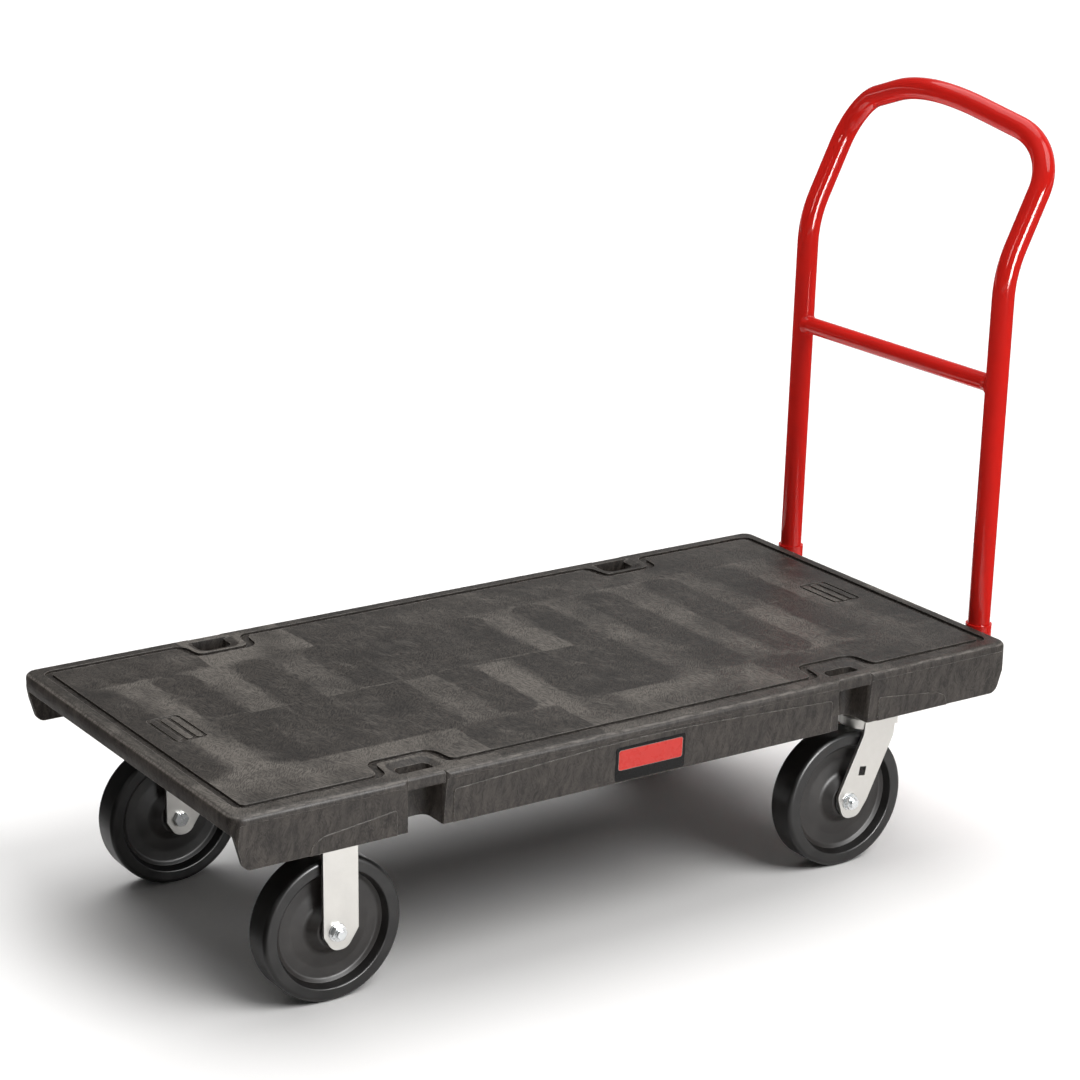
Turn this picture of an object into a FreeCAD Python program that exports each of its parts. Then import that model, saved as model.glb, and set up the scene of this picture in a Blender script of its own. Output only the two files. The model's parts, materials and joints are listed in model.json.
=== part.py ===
import FreeCAD, Part
import math
import os

# Platform truck: moulded deck, lift-out tubular handle, two rigid and two swivel casters.
# Millimetres. Floor at Z = 0, handle end towards +X, left side (seen from the handle) towards -Y.
# Every length below is measured from the middle of the deck; the whole truck is then moved
# along X so that its bounding box is centred on the origin.

Vec = FreeCAD.Vector
UP = Vec(0, 0, 1)
ACROSS = Vec(0, 1, 0)
SPARE = 20.0  # how far cutting shapes run past what they cut

# Proportions of hexagon heads, nuts and washers to their width across flats or bolt radius
HEX_CHAMFER = 0.08
WASHER_WIDTH = 0.66
AXLE_FLATS = 3.1
AXLE_HEAD_HEIGHT = 1.25
AXLE_NUT_HEIGHT = 1.45
AXLE_FLANGE_WIDTH = 2.1
AXLE_FLANGE_RIM = 2.0
AXLE_COLLAR_WIDTH = 1.3
AXLE_COLLAR_HEIGHT = 1.75

# Wheels and casters
wheel_radius = 100.0
tread_width = 46.0
tread_edge_radius = 6.5
tyre_inner_radius = 77.0
tyre_lip_radius = 81.5
tyre_lip_edge_radius = 2.0
tyre_inner_width = 24.0
web_thickness = 17.0
web_edge_width = 5.0
web_edge_radius = 5.0
web_bend_radius = 40.0
hub_radius = 24.0
hub_edge_radius = 1.5
hub_flare_radius = 36.0
hub_flare_rise = 2.5
hub_flare_bend = 10.0
thrust_washer_radius = 20.0
hub_overhang = 0.5
bearing_outer_radius = 15.0
sleeve_radius = 9.5
axle_radius = 6.0
axle_hole_gap = 0.3
running_gap = 0.05
washer_gap = 0.3
fork_side_gap = 3.5
fork_plate = 5.0
leg_nose_drop = 25.5
leg_nose_radius = 16.0
leg_shoulder_radius = 4.0
rigid_leg_front = 19.3
rigid_leg_front_drop = 4.0
rigid_leg_back = 31.7
rigid_nose_front = 6.0
rigid_nose_back = 14.9
weld_end_gap = 2.0
fork_weld = 4.0
tab_hole_length = 11.6
tab_hole_height = 13.4
axle_tail = 13.0
nut_flange = 2.0

# Swivel heads
swivel_lead = 48.0
wheel_to_crown = 3.0
crown_height = 18.0
crown_radius = 38.0
crown_back = 34.0
crown_wall = 5.0
crown_edge_radius = 5.5
race_radius = 19.0
race_ring_radius = 4.5
race_gap = 8.0
race_cup_depth = 12.0
race_cup_radius = 27.0
race_cup_top_radius = 36.0
kingpin_radius = 8.0
kingpin_head_radius = 13.0
kingpin_head_rim = 2.0
kingpin_head_taper = 3.0
yoke_root_front = 24.0
yoke_root_back = 30.0
yoke_root_radius = 2.0
yoke_neck_front = 26.5
yoke_neck_front_drop = 20.0
yoke_neck_front_radius = 25.0
yoke_neck_back = 27.0
yoke_neck_back_drop = 29.0
yoke_back_radius = 30.0
yoke_eye_front = 21.0
yoke_eye_front_rise = 9.0
yoke_eye_back = 31.0
yoke_eye_back_drop = 3.5
yoke_nose_front = 10.2
yoke_nose_back = 15.3
tab_hole_turn = 10.0
tab_hole_x = 21.3
tab_hole_rise = 42.0

# Caster mounting plates and their bolts
mount_plate = 6.0
mount_plate_radius = 8.0
plate_size_x = 102.0
plate_size_y = 114.0
caster_bolt_edge_x = 17.5
caster_bolt_edge_y = 11.0
caster_bolt_radius = 5.0
caster_bolt_flats = 15.0
caster_bolt_head = 6.4
caster_bolt_reach = 30.0
caster_washer = 2.0
bolt_hole_gap = 0.3
bolt_slot_travel = 2.5

# Deck shell
deck_length = 1240.0
deck_width = 620.0
deck_height = 75.0
deck_corner_radius = 18.0
deck_edge_radius = 8.0
deck_skin = 7.0
wall = 6.0
lip_height = 28.0
end_taper = 17.0
end_taper_start = 14.0
end_taper_radius = 40.0
end_foot_radius = 14.0
bead_height = 12.0
bead_step = 1.4
skirt_draft = 3.6

# Raised panels on the skirts
panel_proud = 1.3
panel_bow = 16.0
panel_low_edge = 29.0
panel_bow_radius = 2400.0
panel_corner_radius = 4.0
panel_end_start = 8.0
panel_end_height = 35.0
panel_end_fall = 12.5
panel_end_margin = 103.0
panel_end_shoulder = 25.0
panel_end_shoulder_radius = 14.0
panel_end_toe = 9.0
panel_end_toe_drop = 8.0
panel_end_toe_radius = 12.0

# Groove and grip pads in the top
groove_width = 11.0
groove_depth = 4.0
groove_from_side = 27.0
groove_from_end = 24.0
groove_corner_radius = 12.0
groove_jog_margin = 8.5
groove_jog_slope = 6.0
groove_jog_radius = 15.0
grip_pad_from_end = 80.5
grip_pad_width = 48.0
grip_pad_length = 92.0
grip_pad_depth = 2.0
grip_pad_radius = 8.0
grip_bar_count = 3
grip_bar_pitch = 15.0
grip_bar_width = 9.0
grip_bar_length = 80.0
grip_bar_radius = 3.0

# Tie-down points
tie_from_end = 276.0
tie_pocket_length = 50.0
tie_pocket_depth = 49.0
tie_pocket_radius = 12.0
tie_pocket_flare = 10.0
tie_mouth_side = 2.0
tie_wall = 5.0
tie_bar_setback = 3.0
tie_bar_width = 16.0
tie_bar_height = 19.0
tie_bar_inner_radii = (4.0, 0.8)
tie_bar_outer_radii = (3.0, 6.0)
tie_rim_margin = 10.0
tie_rim_back = 15.0
tie_rim_radius = 18.0
tie_rim_bar_radius = 4.0
tie_dish_depth = 4.5
tie_dish_overcut = 0.5

# Underside ribs, caster pads and bosses
rib = 5.0
rib_pitch = 113.5
rib_pairs = 2
tie_rib_margin = 17.0
end_rib_from_end = 92.0
pad_recess = 8.0
pad_margin = 6.0
pad_wall = 12.0
boss_radius = 11.0
hole_end_gap = 4.0

# Caster positions
caster_from_side = 88.5
rigid_from_end = 175.0
swivel_from_end = 185.0

# Handle
tube_radius = 16.0
tube_wall = 2.0
leg_from_end = 19.03
leg_from_side = 87.84
leg_tilt = 1.42
leg_datum_drop = 4.0
kink_rise = 518.7
kink_radius = 170.0
corner_above_kink = 169.8
corner_reach = 97.77
corner_radius = 79.5
bow_above_corner = 51.1
bow_reach = 56.67
bow_half_width = 46.2
bow_radius = 270.0
crossbar_radius = 12.7
crossbar_rise = 356.0
weld_size = 3.0
weld_length = 5.0
plug_inset = 0.6

# Handle sockets and their brackets
socket_wall = 3.0
socket_clearance = 0.08
socket_top = 3.0
socket_depth = 66.0
socket_floor = 4.0
socket_drain_radius = 4.0
socket_relief = 0.5
foot_gap = 0.3
plug_cap = 3.0
plug_length = 18.0
plug_gap = 0.3
bracket_thickness = 6.0
bracket_length = 66.0
bracket_half_width = 30.0
bracket_nose_radius = 24.5
bracket_corner_radius = 6.0
bracket_shoulder_radius = 20.0
socket_pad_margin = 3.0
socket_bolt_far = 49.0
socket_bolt_near = 17.0
socket_bolt_spread = 18.0
socket_bolt_radius = 4.0
socket_bolt_flats = 13.0
socket_bolt_head = 5.3
socket_bolt_reach = 14.0
socket_washer = 1.6

# Levels, from the floor up
crown_bottom_z = 2 * wheel_radius + wheel_to_crown
crown_top_z = crown_bottom_z + crown_height
race_z = crown_top_z + race_gap / 2
cup_bottom_z = crown_top_z + race_gap
plate_bottom_z = cup_bottom_z + race_cup_depth
pad_bottom_z = plate_bottom_z + mount_plate
skirt_bottom_z = pad_bottom_z - pad_recess
deck_top_z = skirt_bottom_z + deck_height
under_skin_z = deck_top_z - deck_skin
lip_bottom_z = deck_top_z - lip_height
bead_bottom_z = deck_top_z - bead_height
leg_datum_z = deck_top_z - leg_datum_drop
kink_z = leg_datum_z + kink_rise
corner_z = kink_z + corner_above_kink
bow_z = corner_z + bow_above_corner
crossbar_z = leg_datum_z + crossbar_rise

# Places in plan, from the middle of the deck
half_length = deck_length / 2
half_width = deck_width / 2
inner_half_width = half_width - wall - bead_step - skirt_draft
tie_x = half_length - tie_from_end
tie_back_y = half_width - tie_pocket_depth
tie_bar_outer_y = half_width - tie_bar_setback
tie_bar_inner_y = tie_bar_outer_y - tie_bar_width
caster_y = half_width - caster_from_side
rigid_x = rigid_from_end - half_length
swivel_x = half_length - swivel_from_end
swivel_wheel_x = swivel_x - swivel_lead
caster_bolt_dx = plate_size_x / 2 - caster_bolt_edge_x
caster_bolt_dy = plate_size_y / 2 - caster_bolt_edge_y
pad_half_x = plate_size_x / 2 + pad_margin
pad_half_y = plate_size_y / 2 + pad_margin
outer_rib_y = caster_y - pad_half_y + pad_wall / 2
end_rib_x = half_length - end_rib_from_end
leg_x = half_length + leg_from_end
leg_y = half_width - leg_from_side
fork_inner = tread_width / 2 + fork_side_gap
fork_outer = fork_inner + fork_plate
hub_half_width = tread_width / 2 + hub_overhang
socket_radius = tube_radius + socket_wall + socket_clearance
socket_bolt_x = (half_length - wall - socket_bolt_far, half_length - wall - socket_bolt_near)

os.makedirs("parts", exist_ok=True)


# ---------------------------------------------------------------- shared helpers

def corner_arc(before, corner, after, radius):
    """Start, middle and end of the arc that rounds one corner."""
    into = (corner - before).normalize()
    out = (after - corner).normalize()
    turn = into.getAngle(out)
    if radius <= 0 or turn < 1e-6:
        return corner, None, corner
    reach = radius * math.tan(turn / 2)
    start = corner - into * reach
    end = corner + out * reach
    inward = (out - into).normalize()
    centre = corner + inward * (radius / math.cos(turn / 2))
    return start, centre - inward * radius, end


def rounded_path(points, radii, closed):
    """A wire through the points, each corner rounded by its own radius."""
    count = len(points)
    corners = []
    for index, point in enumerate(points):
        if not closed and index in (0, count - 1):
            corners.append((point, None, point))
            continue
        before = points[index - 1]
        after = points[(index + 1) % count]
        corners.append(corner_arc(before, point, after, radii[index]))
    edges = []
    for index, (start, middle, end) in enumerate(corners):
        if middle is not None:
            edges.append(Part.Arc(start, middle, end).toShape())
        if index == count - 1 and not closed:
            break
        following = corners[(index + 1) % count][0]
        if end.distanceToPoint(following) > 1e-6:
            edges.append(Part.LineSegment(end, following).toShape())
    return Part.Wire(edges)


def rounded_outline(points, radii):
    """A closed face from flat points with rounded corners."""
    return Part.Face(rounded_path(points, radii, True))


def plan_rectangle(x0, x1, y0, y1, z, radius):
    """A horizontal rectangle with equal corner radii, as a face."""
    points = [Vec(x0, y0, z), Vec(x1, y0, z), Vec(x1, y1, z), Vec(x0, y1, z)]
    return rounded_outline(points, [radius] * 4)


def box(x0, x1, y0, y1, z0, z1):
    """A plain block between two corners."""
    return Part.makeBox(x1 - x0, y1 - y0, z1 - z0, Vec(x0, y0, z0))


def upright(radius, x, y, z0, z1):
    """A vertical cylinder."""
    return Part.makeCylinder(radius, z1 - z0, Vec(x, y, z0), UP)


def crosswise(radius, x, z, y0, y1):
    """A cylinder lying along Y."""
    return Part.makeCylinder(radius, y1 - y0, Vec(x, y0, z), ACROSS)


def hexagon(across_flats, height):
    """A vertical hexagonal prism standing at the origin, its top rim chamfered."""
    size = across_flats / math.sqrt(3)
    points = []
    for step in range(6):
        angle = math.radians(60 * step)
        points.append(Vec(size * math.cos(angle), size * math.sin(angle), 0))
    prism = rounded_outline(points, [0] * 6).extrude(Vec(0, 0, height))
    chamfer = across_flats * HEX_CHAMFER
    barrel = upright(size + chamfer, 0, 0, -1, height - chamfer)
    rim = Part.makeCone(size + chamfer, size - chamfer, chamfer * 1.2, Vec(0, 0, height - chamfer), UP)
    return prism.common(barrel.fuse(rim))


def mirrored_side(shape):
    """The same shape on the other side of the truck."""
    return shape.mirror(Vec(0, 0, 0), ACROSS)


def mirrored_end(shape):
    """The same shape at the other end of the deck."""
    return shape.mirror(Vec(0, 0, 0), Vec(1, 0, 0))


def on_four_corners(shape):
    """The shape and its three mirror images about the middle of the deck."""
    pair = [shape, mirrored_side(shape)]
    return pair + [mirrored_end(item) for item in pair]


def both_ways(value):
    """A place and its opposite, or the middle alone."""
    return (-value, value) if value else (0,)


# ---------------------------------------------------------------- deck

def side_profile():
    """Outline of the deck seen from the side, ends sloping in towards the foot."""
    high = deck_top_z + SPARE
    bend = deck_top_z - end_taper_start
    right = [
        (Vec(half_length, 0, high), 0),
        (Vec(half_length, 0, bend), end_taper_radius),
        (Vec(half_length - end_taper, 0, skirt_bottom_z), end_foot_radius),
    ]
    left = [(Vec(-p.x, 0, p.z), r) for p, r in reversed(right)]
    whole = right + left
    return rounded_outline([p for p, r in whole], [r for p, r in whole])


def end_profile(shift):
    """Outline of the deck seen from the end: a rim bead over a drafted skirt."""
    top_y = min(half_width, half_width - bead_step + shift)
    low_y = half_width - bead_step - skirt_draft + shift
    right = [
        Vec(0, half_width, deck_top_z + SPARE),
        Vec(0, half_width, bead_bottom_z),
        Vec(0, top_y, bead_bottom_z - bead_step),
        Vec(0, low_y, skirt_bottom_z),
    ]
    left = [Vec(0, -p.y, p.z) for p in reversed(right)]
    return rounded_outline(right + left, [0] * 8)


def through_length(face):
    """Sweep a face seen from the end over the whole length."""
    solid = face.extrude(Vec(deck_length + 2 * SPARE, 0, 0))
    solid.translate(Vec(-half_length - SPARE, 0, 0))
    return solid


def through_width(face):
    """Sweep a face seen from the side over the whole width."""
    solid = face.extrude(Vec(0, deck_width + 2 * SPARE, 0))
    solid.translate(Vec(0, -half_width - SPARE, 0))
    return solid


def deck_block():
    """The deck as a full block with rounded plan corners and a rounded rim."""
    face = plan_rectangle(-half_length, half_length, -half_width, half_width,
                          skirt_bottom_z, deck_corner_radius)
    block = face.extrude(Vec(0, 0, deck_height))
    rim = [e for e in block.Edges if abs(e.BoundBox.ZMin - deck_top_z) < 1e-6]
    return block.makeFillet(deck_edge_radius, rim)


def deck_envelope(shift):
    """The block trimmed by its side view and its end view."""
    trimmed = deck_block().common(through_width(side_profile()))
    return trimmed.common(through_length(end_profile(shift)))


def bow_panel():
    """Long raised panel between the tie-down pockets, its top edge gently bowed."""
    half = tie_x - tie_pocket_length / 2 - 2 * tie_wall - tie_pocket_flare + tie_wall
    low = skirt_bottom_z - SPARE
    end_z = deck_top_z - panel_low_edge
    points = [
        Vec(-half, 0, low), Vec(half, 0, low),
        Vec(half, 0, end_z), Vec(0, 0, end_z + panel_bow), Vec(-half, 0, end_z),
    ]
    radii = [0, 0, panel_corner_radius, panel_bow_radius, panel_corner_radius]
    return rounded_outline(points, radii)


def end_panel():
    """Short raised panel between a tie-down pocket and the end of the skirt."""
    start = tie_x + tie_pocket_length / 2 + tie_pocket_flare + panel_end_start
    end = half_length - panel_end_margin
    low = skirt_bottom_z - SPARE
    high = skirt_bottom_z + panel_end_height
    fall = high - panel_end_fall
    points = [
        Vec(start, 0, low), Vec(end, 0, low), Vec(end - panel_end_toe, 0, fall - panel_end_toe_drop),
        Vec(end - panel_end_shoulder, 0, fall), Vec(start, 0, high),
    ]
    radii = [0, 0, panel_end_toe_radius, panel_end_shoulder_radius, panel_corner_radius]
    return rounded_outline(points, radii)


def raised_panels(proud_block):
    """All six skirt panels, cut to the skin of a slightly larger block."""
    panels = []
    for face in (bow_panel(), end_panel()):
        solid = face.extrude(Vec(0, SPARE, 0))
        solid.translate(Vec(0, inner_half_width + wall / 2, 0))
        panels.append(solid)
    centre, end = panels
    solids = [centre, mirrored_side(centre)] + on_four_corners(end)
    return [solid.common(proud_block) for solid in solids]


def deck_cavity():
    """Hollow under the skin, inside the side skirts and end walls."""
    inner = half_length - wall
    low = skirt_bottom_z - SPARE
    face = plan_rectangle(-inner, inner, -inner_half_width, inner_half_width, low,
                          deck_corner_radius - wall)
    return face.extrude(Vec(0, 0, under_skin_z - low))


def end_openings():
    """Clear space under the shallow lip at both ends."""
    opening = box(half_length - deck_corner_radius, half_length + SPARE, -inner_half_width,
                  inner_half_width, skirt_bottom_z - SPARE, lip_bottom_z)
    return [opening, mirrored_end(opening)]


def pocket_room():
    """Space of one tie-down pocket, open below and flared at the skirt."""
    half = tie_pocket_length / 2
    wide = half + tie_pocket_flare + tie_mouth_side
    low = skirt_bottom_z - SPARE
    far = half_width + SPARE
    points = [
        Vec(tie_x - half, tie_back_y, low), Vec(tie_x + half, tie_back_y, low),
        Vec(tie_x + half, half_width, low), Vec(tie_x + wide, half_width, low),
        Vec(tie_x + wide, far, low), Vec(tie_x - wide, far, low),
        Vec(tie_x - wide, half_width, low), Vec(tie_x - half, half_width, low),
    ]
    flare = tie_pocket_flare
    radii = [tie_pocket_radius, tie_pocket_radius, flare, 0, 0, 0, 0, flare]
    return rounded_outline(points, radii).extrude(Vec(0, 0, deck_height + 2 * SPARE))


def pocket_wall():
    """Solid stock round one pocket, up to the skin."""
    half = tie_pocket_length / 2 + tie_wall
    face = plan_rectangle(tie_x - half, tie_x + half, tie_back_y - tie_wall, half_width + SPARE,
                          skirt_bottom_z, tie_pocket_radius + tie_wall)
    return face.extrude(Vec(0, 0, deck_height))


def tie_bar():
    """Bar bridging the mouth of a pocket, level with the deck top."""
    reach = tie_pocket_length / 2 + tie_wall / 2
    low = deck_top_z - tie_bar_height
    points = [
        Vec(tie_x - reach, tie_bar_inner_y, low), Vec(tie_x - reach, tie_bar_outer_y, low),
        Vec(tie_x - reach, tie_bar_outer_y, deck_top_z), Vec(tie_x - reach, tie_bar_inner_y, deck_top_z),
    ]
    radii = [tie_bar_inner_radii[0], *tie_bar_outer_radii, tie_bar_inner_radii[1]]
    return rounded_outline(points, radii).extrude(Vec(2 * reach, 0, 0))


def tie_dish():
    """Sloping scoop from the deck top down to the pocket."""
    rim = (deck_top_z, 0, 0, tie_rim_radius)
    foot = (deck_top_z - tie_dish_depth, tie_rim_margin + tie_dish_overcut,
            tie_rim_back + tie_dish_overcut, tie_pocket_radius)
    wires = []
    for z, inset, back_inset, radius in (rim, foot):
        half = tie_pocket_length / 2 + tie_rim_margin - inset
        back = tie_back_y - tie_rim_back + back_inset
        points = [
            Vec(tie_x - half, back, z), Vec(tie_x + half, back, z),
            Vec(tie_x + half, tie_bar_inner_y, z), Vec(tie_x - half, tie_bar_inner_y, z),
        ]
        wires.append(rounded_path(points, [radius, radius, tie_rim_bar_radius, tie_rim_bar_radius], True))
    return Part.makeLoft(wires, True)


def groove_run(grow):
    """Closed outline of the groove, stepping inwards round each tie-down slot."""
    end_x = half_length - groove_from_end + grow
    side_y = half_width - groove_from_side + grow
    jog_y = tie_back_y - tie_rim_back - groove_jog_margin + grow
    top = tie_pocket_length / 2 + tie_rim_margin + groove_jog_margin - grow
    base = top + groove_jog_slope
    outer = groove_jog_radius + grow
    inner = groove_jog_radius - grow
    quarter = [
        (Vec(end_x, side_y, 0), groove_corner_radius + grow),
        (Vec(tie_x + base, side_y, 0), outer),
        (Vec(tie_x + top, jog_y, 0), inner),
        (Vec(tie_x - top, jog_y, 0), inner),
        (Vec(tie_x - base, side_y, 0), outer),
    ]
    run = []
    for sign_x, sign_y in ((1, 1), (-1, 1), (-1, -1), (1, -1)):
        turn = [(Vec(sign_x * p.x, sign_y * p.y, 0), r) for p, r in quarter]
        run += turn if sign_x == sign_y else turn[::-1]
    return rounded_outline([p for p, r in run], [r for p, r in run])


def groove_ring():
    """Solid to be cut for the groove that runs round the load surface."""
    solids = []
    for grow in (groove_width / 2, -groove_width / 2):
        solid = groove_run(grow).extrude(Vec(0, 0, groove_depth + SPARE))
        solid.translate(Vec(0, 0, deck_top_z - groove_depth))
        solids.append(solid)
    return solids[0].cut(solids[1])


def grip_block(x, width, length, radius):
    """A block on the grip pad's floor, centred across the deck."""
    floor_z = deck_top_z - grip_pad_depth
    face = plan_rectangle(x - width / 2, x + width / 2, -length / 2, length / 2, floor_z, radius)
    return face.extrude(Vec(0, 0, grip_pad_depth + SPARE))


def grip_pads():
    """Shallow recesses at both ends, with bars left standing level with the top."""
    middle = half_length - grip_pad_from_end
    pad = grip_block(middle, grip_pad_width, grip_pad_length, grip_pad_radius)
    bars = []
    for index in range(grip_bar_count):
        x = middle + (index - (grip_bar_count - 1) / 2) * grip_bar_pitch
        bars.append(grip_block(x, grip_bar_width, grip_bar_length, grip_bar_radius))
    pad = pad.cut(bars)
    return [pad, mirrored_end(pad)]


def rib_grid():
    """Ribs across and along the underside, as deep as the end lips."""
    reach_x = half_length - wall
    reach_y = half_width - wall
    pairs = [rib_pitch * step for step in range(rib_pairs + 1)]
    pairs += [tie_x - tie_pocket_length / 2 - tie_rib_margin, end_rib_x]
    ribs = []
    for x in [x for place in pairs for x in both_ways(place)] + [rigid_x, swivel_x]:
        ribs.append(box(x - rib / 2, x + rib / 2, -reach_y, reach_y, lip_bottom_z, under_skin_z))
    for y in [y for place in (0, outer_rib_y / 2, outer_rib_y) for y in both_ways(place)]:
        ribs.append(box(-reach_x, reach_x, y - rib / 2, y + rib / 2, lip_bottom_z, under_skin_z))
    return ribs


def caster_centres():
    """Middle of each caster mounting plate, the rigid pair first."""
    return [(x, y) for x in (rigid_x, swivel_x) for y in (-caster_y, caster_y)]


def caster_bolt_points(x, y):
    """The four bolt positions of one mounting plate."""
    return [(x + i * caster_bolt_dx, y + j * caster_bolt_dy) for i in (-1, 1) for j in (-1, 1)]


def socket_bolt_points(side):
    """The four bolt positions of one handle bracket."""
    return [(x, side * leg_y + j * socket_bolt_spread) for x in socket_bolt_x for j in (-1, 1)]


def caster_pads():
    """Deep frames under the deck, one over each caster, with crossed webs and bolt bosses."""
    pads = []
    for x, y in caster_centres():
        outer = box(x - pad_half_x, x + pad_half_x, y - pad_half_y, y + pad_half_y,
                    pad_bottom_z, under_skin_z)
        inner_x = pad_half_x - pad_wall
        inner_y = pad_half_y - pad_wall
        hollow = box(x - inner_x, x + inner_x, y - inner_y, y + inner_y,
                     pad_bottom_z - SPARE, under_skin_z + SPARE)
        pads.append(outer.cut(hollow))
        pads.append(box(x - rib / 2, x + rib / 2, y - pad_half_y, y + pad_half_y, pad_bottom_z, under_skin_z))
        pads.append(box(x - pad_half_x, x + pad_half_x, y - rib / 2, y + rib / 2, pad_bottom_z, under_skin_z))
        for bolt_x, bolt_y in caster_bolt_points(x, y):
            pads.append(upright(boss_radius, bolt_x, bolt_y, pad_bottom_z, under_skin_z))
    return pads


def socket_pads():
    """Solid blocks behind the end lip that take the handle brackets."""
    start = half_length - wall - bracket_length - socket_pad_margin
    half = bracket_half_width + socket_pad_margin
    pads = []
    for side in (-1, 1):
        middle = side * leg_y
        pads.append(box(start, half_length - wall, middle - half, middle + half,
                        lip_bottom_z, under_skin_z))
    return pads


def deck_screw_holes():
    """Blind holes for the caster and bracket bolts."""
    holes = []
    caster_reach = caster_bolt_reach + hole_end_gap
    socket_reach = socket_bolt_reach + hole_end_gap - 1
    for x, y in caster_centres():
        for bolt_x, bolt_y in caster_bolt_points(x, y):
            holes.append(upright(caster_bolt_radius + bolt_hole_gap, bolt_x, bolt_y,
                                 pad_bottom_z - 1, pad_bottom_z + caster_reach))
    for side in (-1, 1):
        for bolt_x, bolt_y in socket_bolt_points(side):
            holes.append(upright(socket_bolt_radius + bolt_hole_gap, bolt_x, bolt_y,
                                 lip_bottom_z - 1, lip_bottom_z + socket_reach))
    return holes


def socket_reliefs():
    """Shallow hollows in the end wall that clear the two handle sockets."""
    reliefs = []
    for side in (-1, 1):
        base = leg_point(side, -deck_height - SPARE)
        radius = socket_radius + socket_relief
        reliefs.append(Part.makeCylinder(radius, 2 * deck_height, base, leg_direction()))
    return reliefs


def deck_body():
    """The one-piece moulded deck."""
    envelope = deck_envelope(0)
    cavity = deck_cavity()
    shell = envelope.cut(cavity)
    webs = rib_grid() + caster_pads() + socket_pads() + on_four_corners(pocket_wall())
    structure = webs[0].multiFuse(webs[1:]).common(envelope.common(cavity))
    body = shell.multiFuse([structure] + raised_panels(deck_envelope(panel_proud)))
    body = body.cut(end_openings() + on_four_corners(pocket_room()))
    body = body.multiFuse(on_four_corners(tie_bar()))
    cutters = on_four_corners(tie_dish()) + [groove_ring()] + grip_pads()
    cutters += deck_screw_holes() + socket_reliefs()
    return body.cut(cutters).removeSplitter()


# ---------------------------------------------------------------- handle

def leg_direction():
    """Unit vector up the handle legs, which lean slightly outwards."""
    lean = math.radians(leg_tilt)
    return Vec(math.sin(lean), 0, math.cos(lean))


def leg_point(side, along):
    """A point on one leg's axis, measured up from the datum height."""
    return Vec(leg_x, side * leg_y, leg_datum_z) + leg_direction() * along


def leg_x_at(z):
    """Where the leg axis passes a given height."""
    return leg_x + (z - leg_datum_z) * math.tan(math.radians(leg_tilt))


def foot_along():
    """Distance along the leg of the plug's underside, just clear of the socket floor."""
    return foot_gap - socket_depth


def handle_axis():
    """Centre line of the bent tube from one foot to the other."""
    half = [
        leg_point(1, foot_along() + plug_cap),
        Vec(leg_x_at(kink_z), leg_y, kink_z),
        Vec(leg_x + corner_reach, leg_y, corner_z),
        Vec(leg_x + bow_reach, bow_half_width, bow_z),
    ]
    radii = [0, kink_radius, corner_radius, bow_radius]
    points = half + [Vec(p.x, -p.y, p.z) for p in reversed(half)]
    return rounded_path(points, radii + radii[::-1], False)


def swept_tube(radius):
    """Solid round bar following the handle's centre line."""
    start = leg_point(1, foot_along() + plug_cap)
    ring = Part.Wire([Part.Circle(start, leg_direction(), radius).toShape()])
    return handle_axis().makePipeShell([ring], True, True)


def handle_tube():
    """The hollow bent tube."""
    return swept_tube(tube_radius).cut(swept_tube(tube_radius - tube_wall))


def handle_crossbar():
    """Straight tube between the legs, its ends coped and welded to them."""
    x = leg_x_at(crossbar_z)
    bar = crosswise(crossbar_radius, x, crossbar_z, -leg_y, leg_y)
    for side in (-1, 1):
        base = Vec(x, side * (leg_y - tube_radius + weld_length), crossbar_z)
        bead = Part.makeCone(crossbar_radius + weld_size, crossbar_radius, 2 * weld_length,
                             base, Vec(0, -side, 0))
        bar = bar.fuse(bead)
    bar = bar.cut(crosswise(crossbar_radius - tube_wall, x, crossbar_z, -leg_y, leg_y))
    for side in (-1, 1):
        low = leg_point(side, crossbar_rise - 4 * tube_radius)
        bar = bar.cut(Part.makeCylinder(tube_radius, 8 * tube_radius, low, leg_direction()))
    return max(bar.Solids, key=lambda solid: solid.Volume)


def leg_plugs():
    """Plastic plugs closing the feet of both legs."""
    plugs = []
    for side in (-1, 1):
        foot = leg_point(side, foot_along())
        cap = Part.makeCylinder(tube_radius - plug_inset, plug_cap, foot, leg_direction())
        stem = Part.makeCylinder(tube_radius - tube_wall - plug_gap, plug_length, foot, leg_direction())
        plugs.append(cap.fuse(stem))
    return Part.makeCompound(plugs)


def socket_bracket(side):
    """Flat plate under the end lip, narrowing to a nose round the socket."""
    low = lip_bottom_z - bracket_thickness
    middle = side * leg_y
    nose_x = leg_x_at(low)
    start = half_length - wall - bracket_length
    shoulder = nose_x - bracket_nose_radius
    half = bracket_half_width
    points = [
        Vec(start, middle - half, low), Vec(shoulder, middle - half, low),
        Vec(nose_x, middle - bracket_nose_radius, low), Vec(nose_x, middle + bracket_nose_radius, low),
        Vec(shoulder, middle + half, low), Vec(start, middle + half, low),
    ]
    half_radii = [bracket_corner_radius, bracket_shoulder_radius, 0]
    plate = rounded_outline(points, half_radii + half_radii[::-1]).extrude(Vec(0, 0, bracket_thickness))
    plate = plate.fuse(upright(bracket_nose_radius, nose_x, middle, low, lip_bottom_z))
    holes = []
    for x, y in socket_bolt_points(side):
        holes.append(upright(socket_bolt_radius + bolt_hole_gap, x, y, low - 1, lip_bottom_z + 1))
    return plate.cut(holes)


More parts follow.
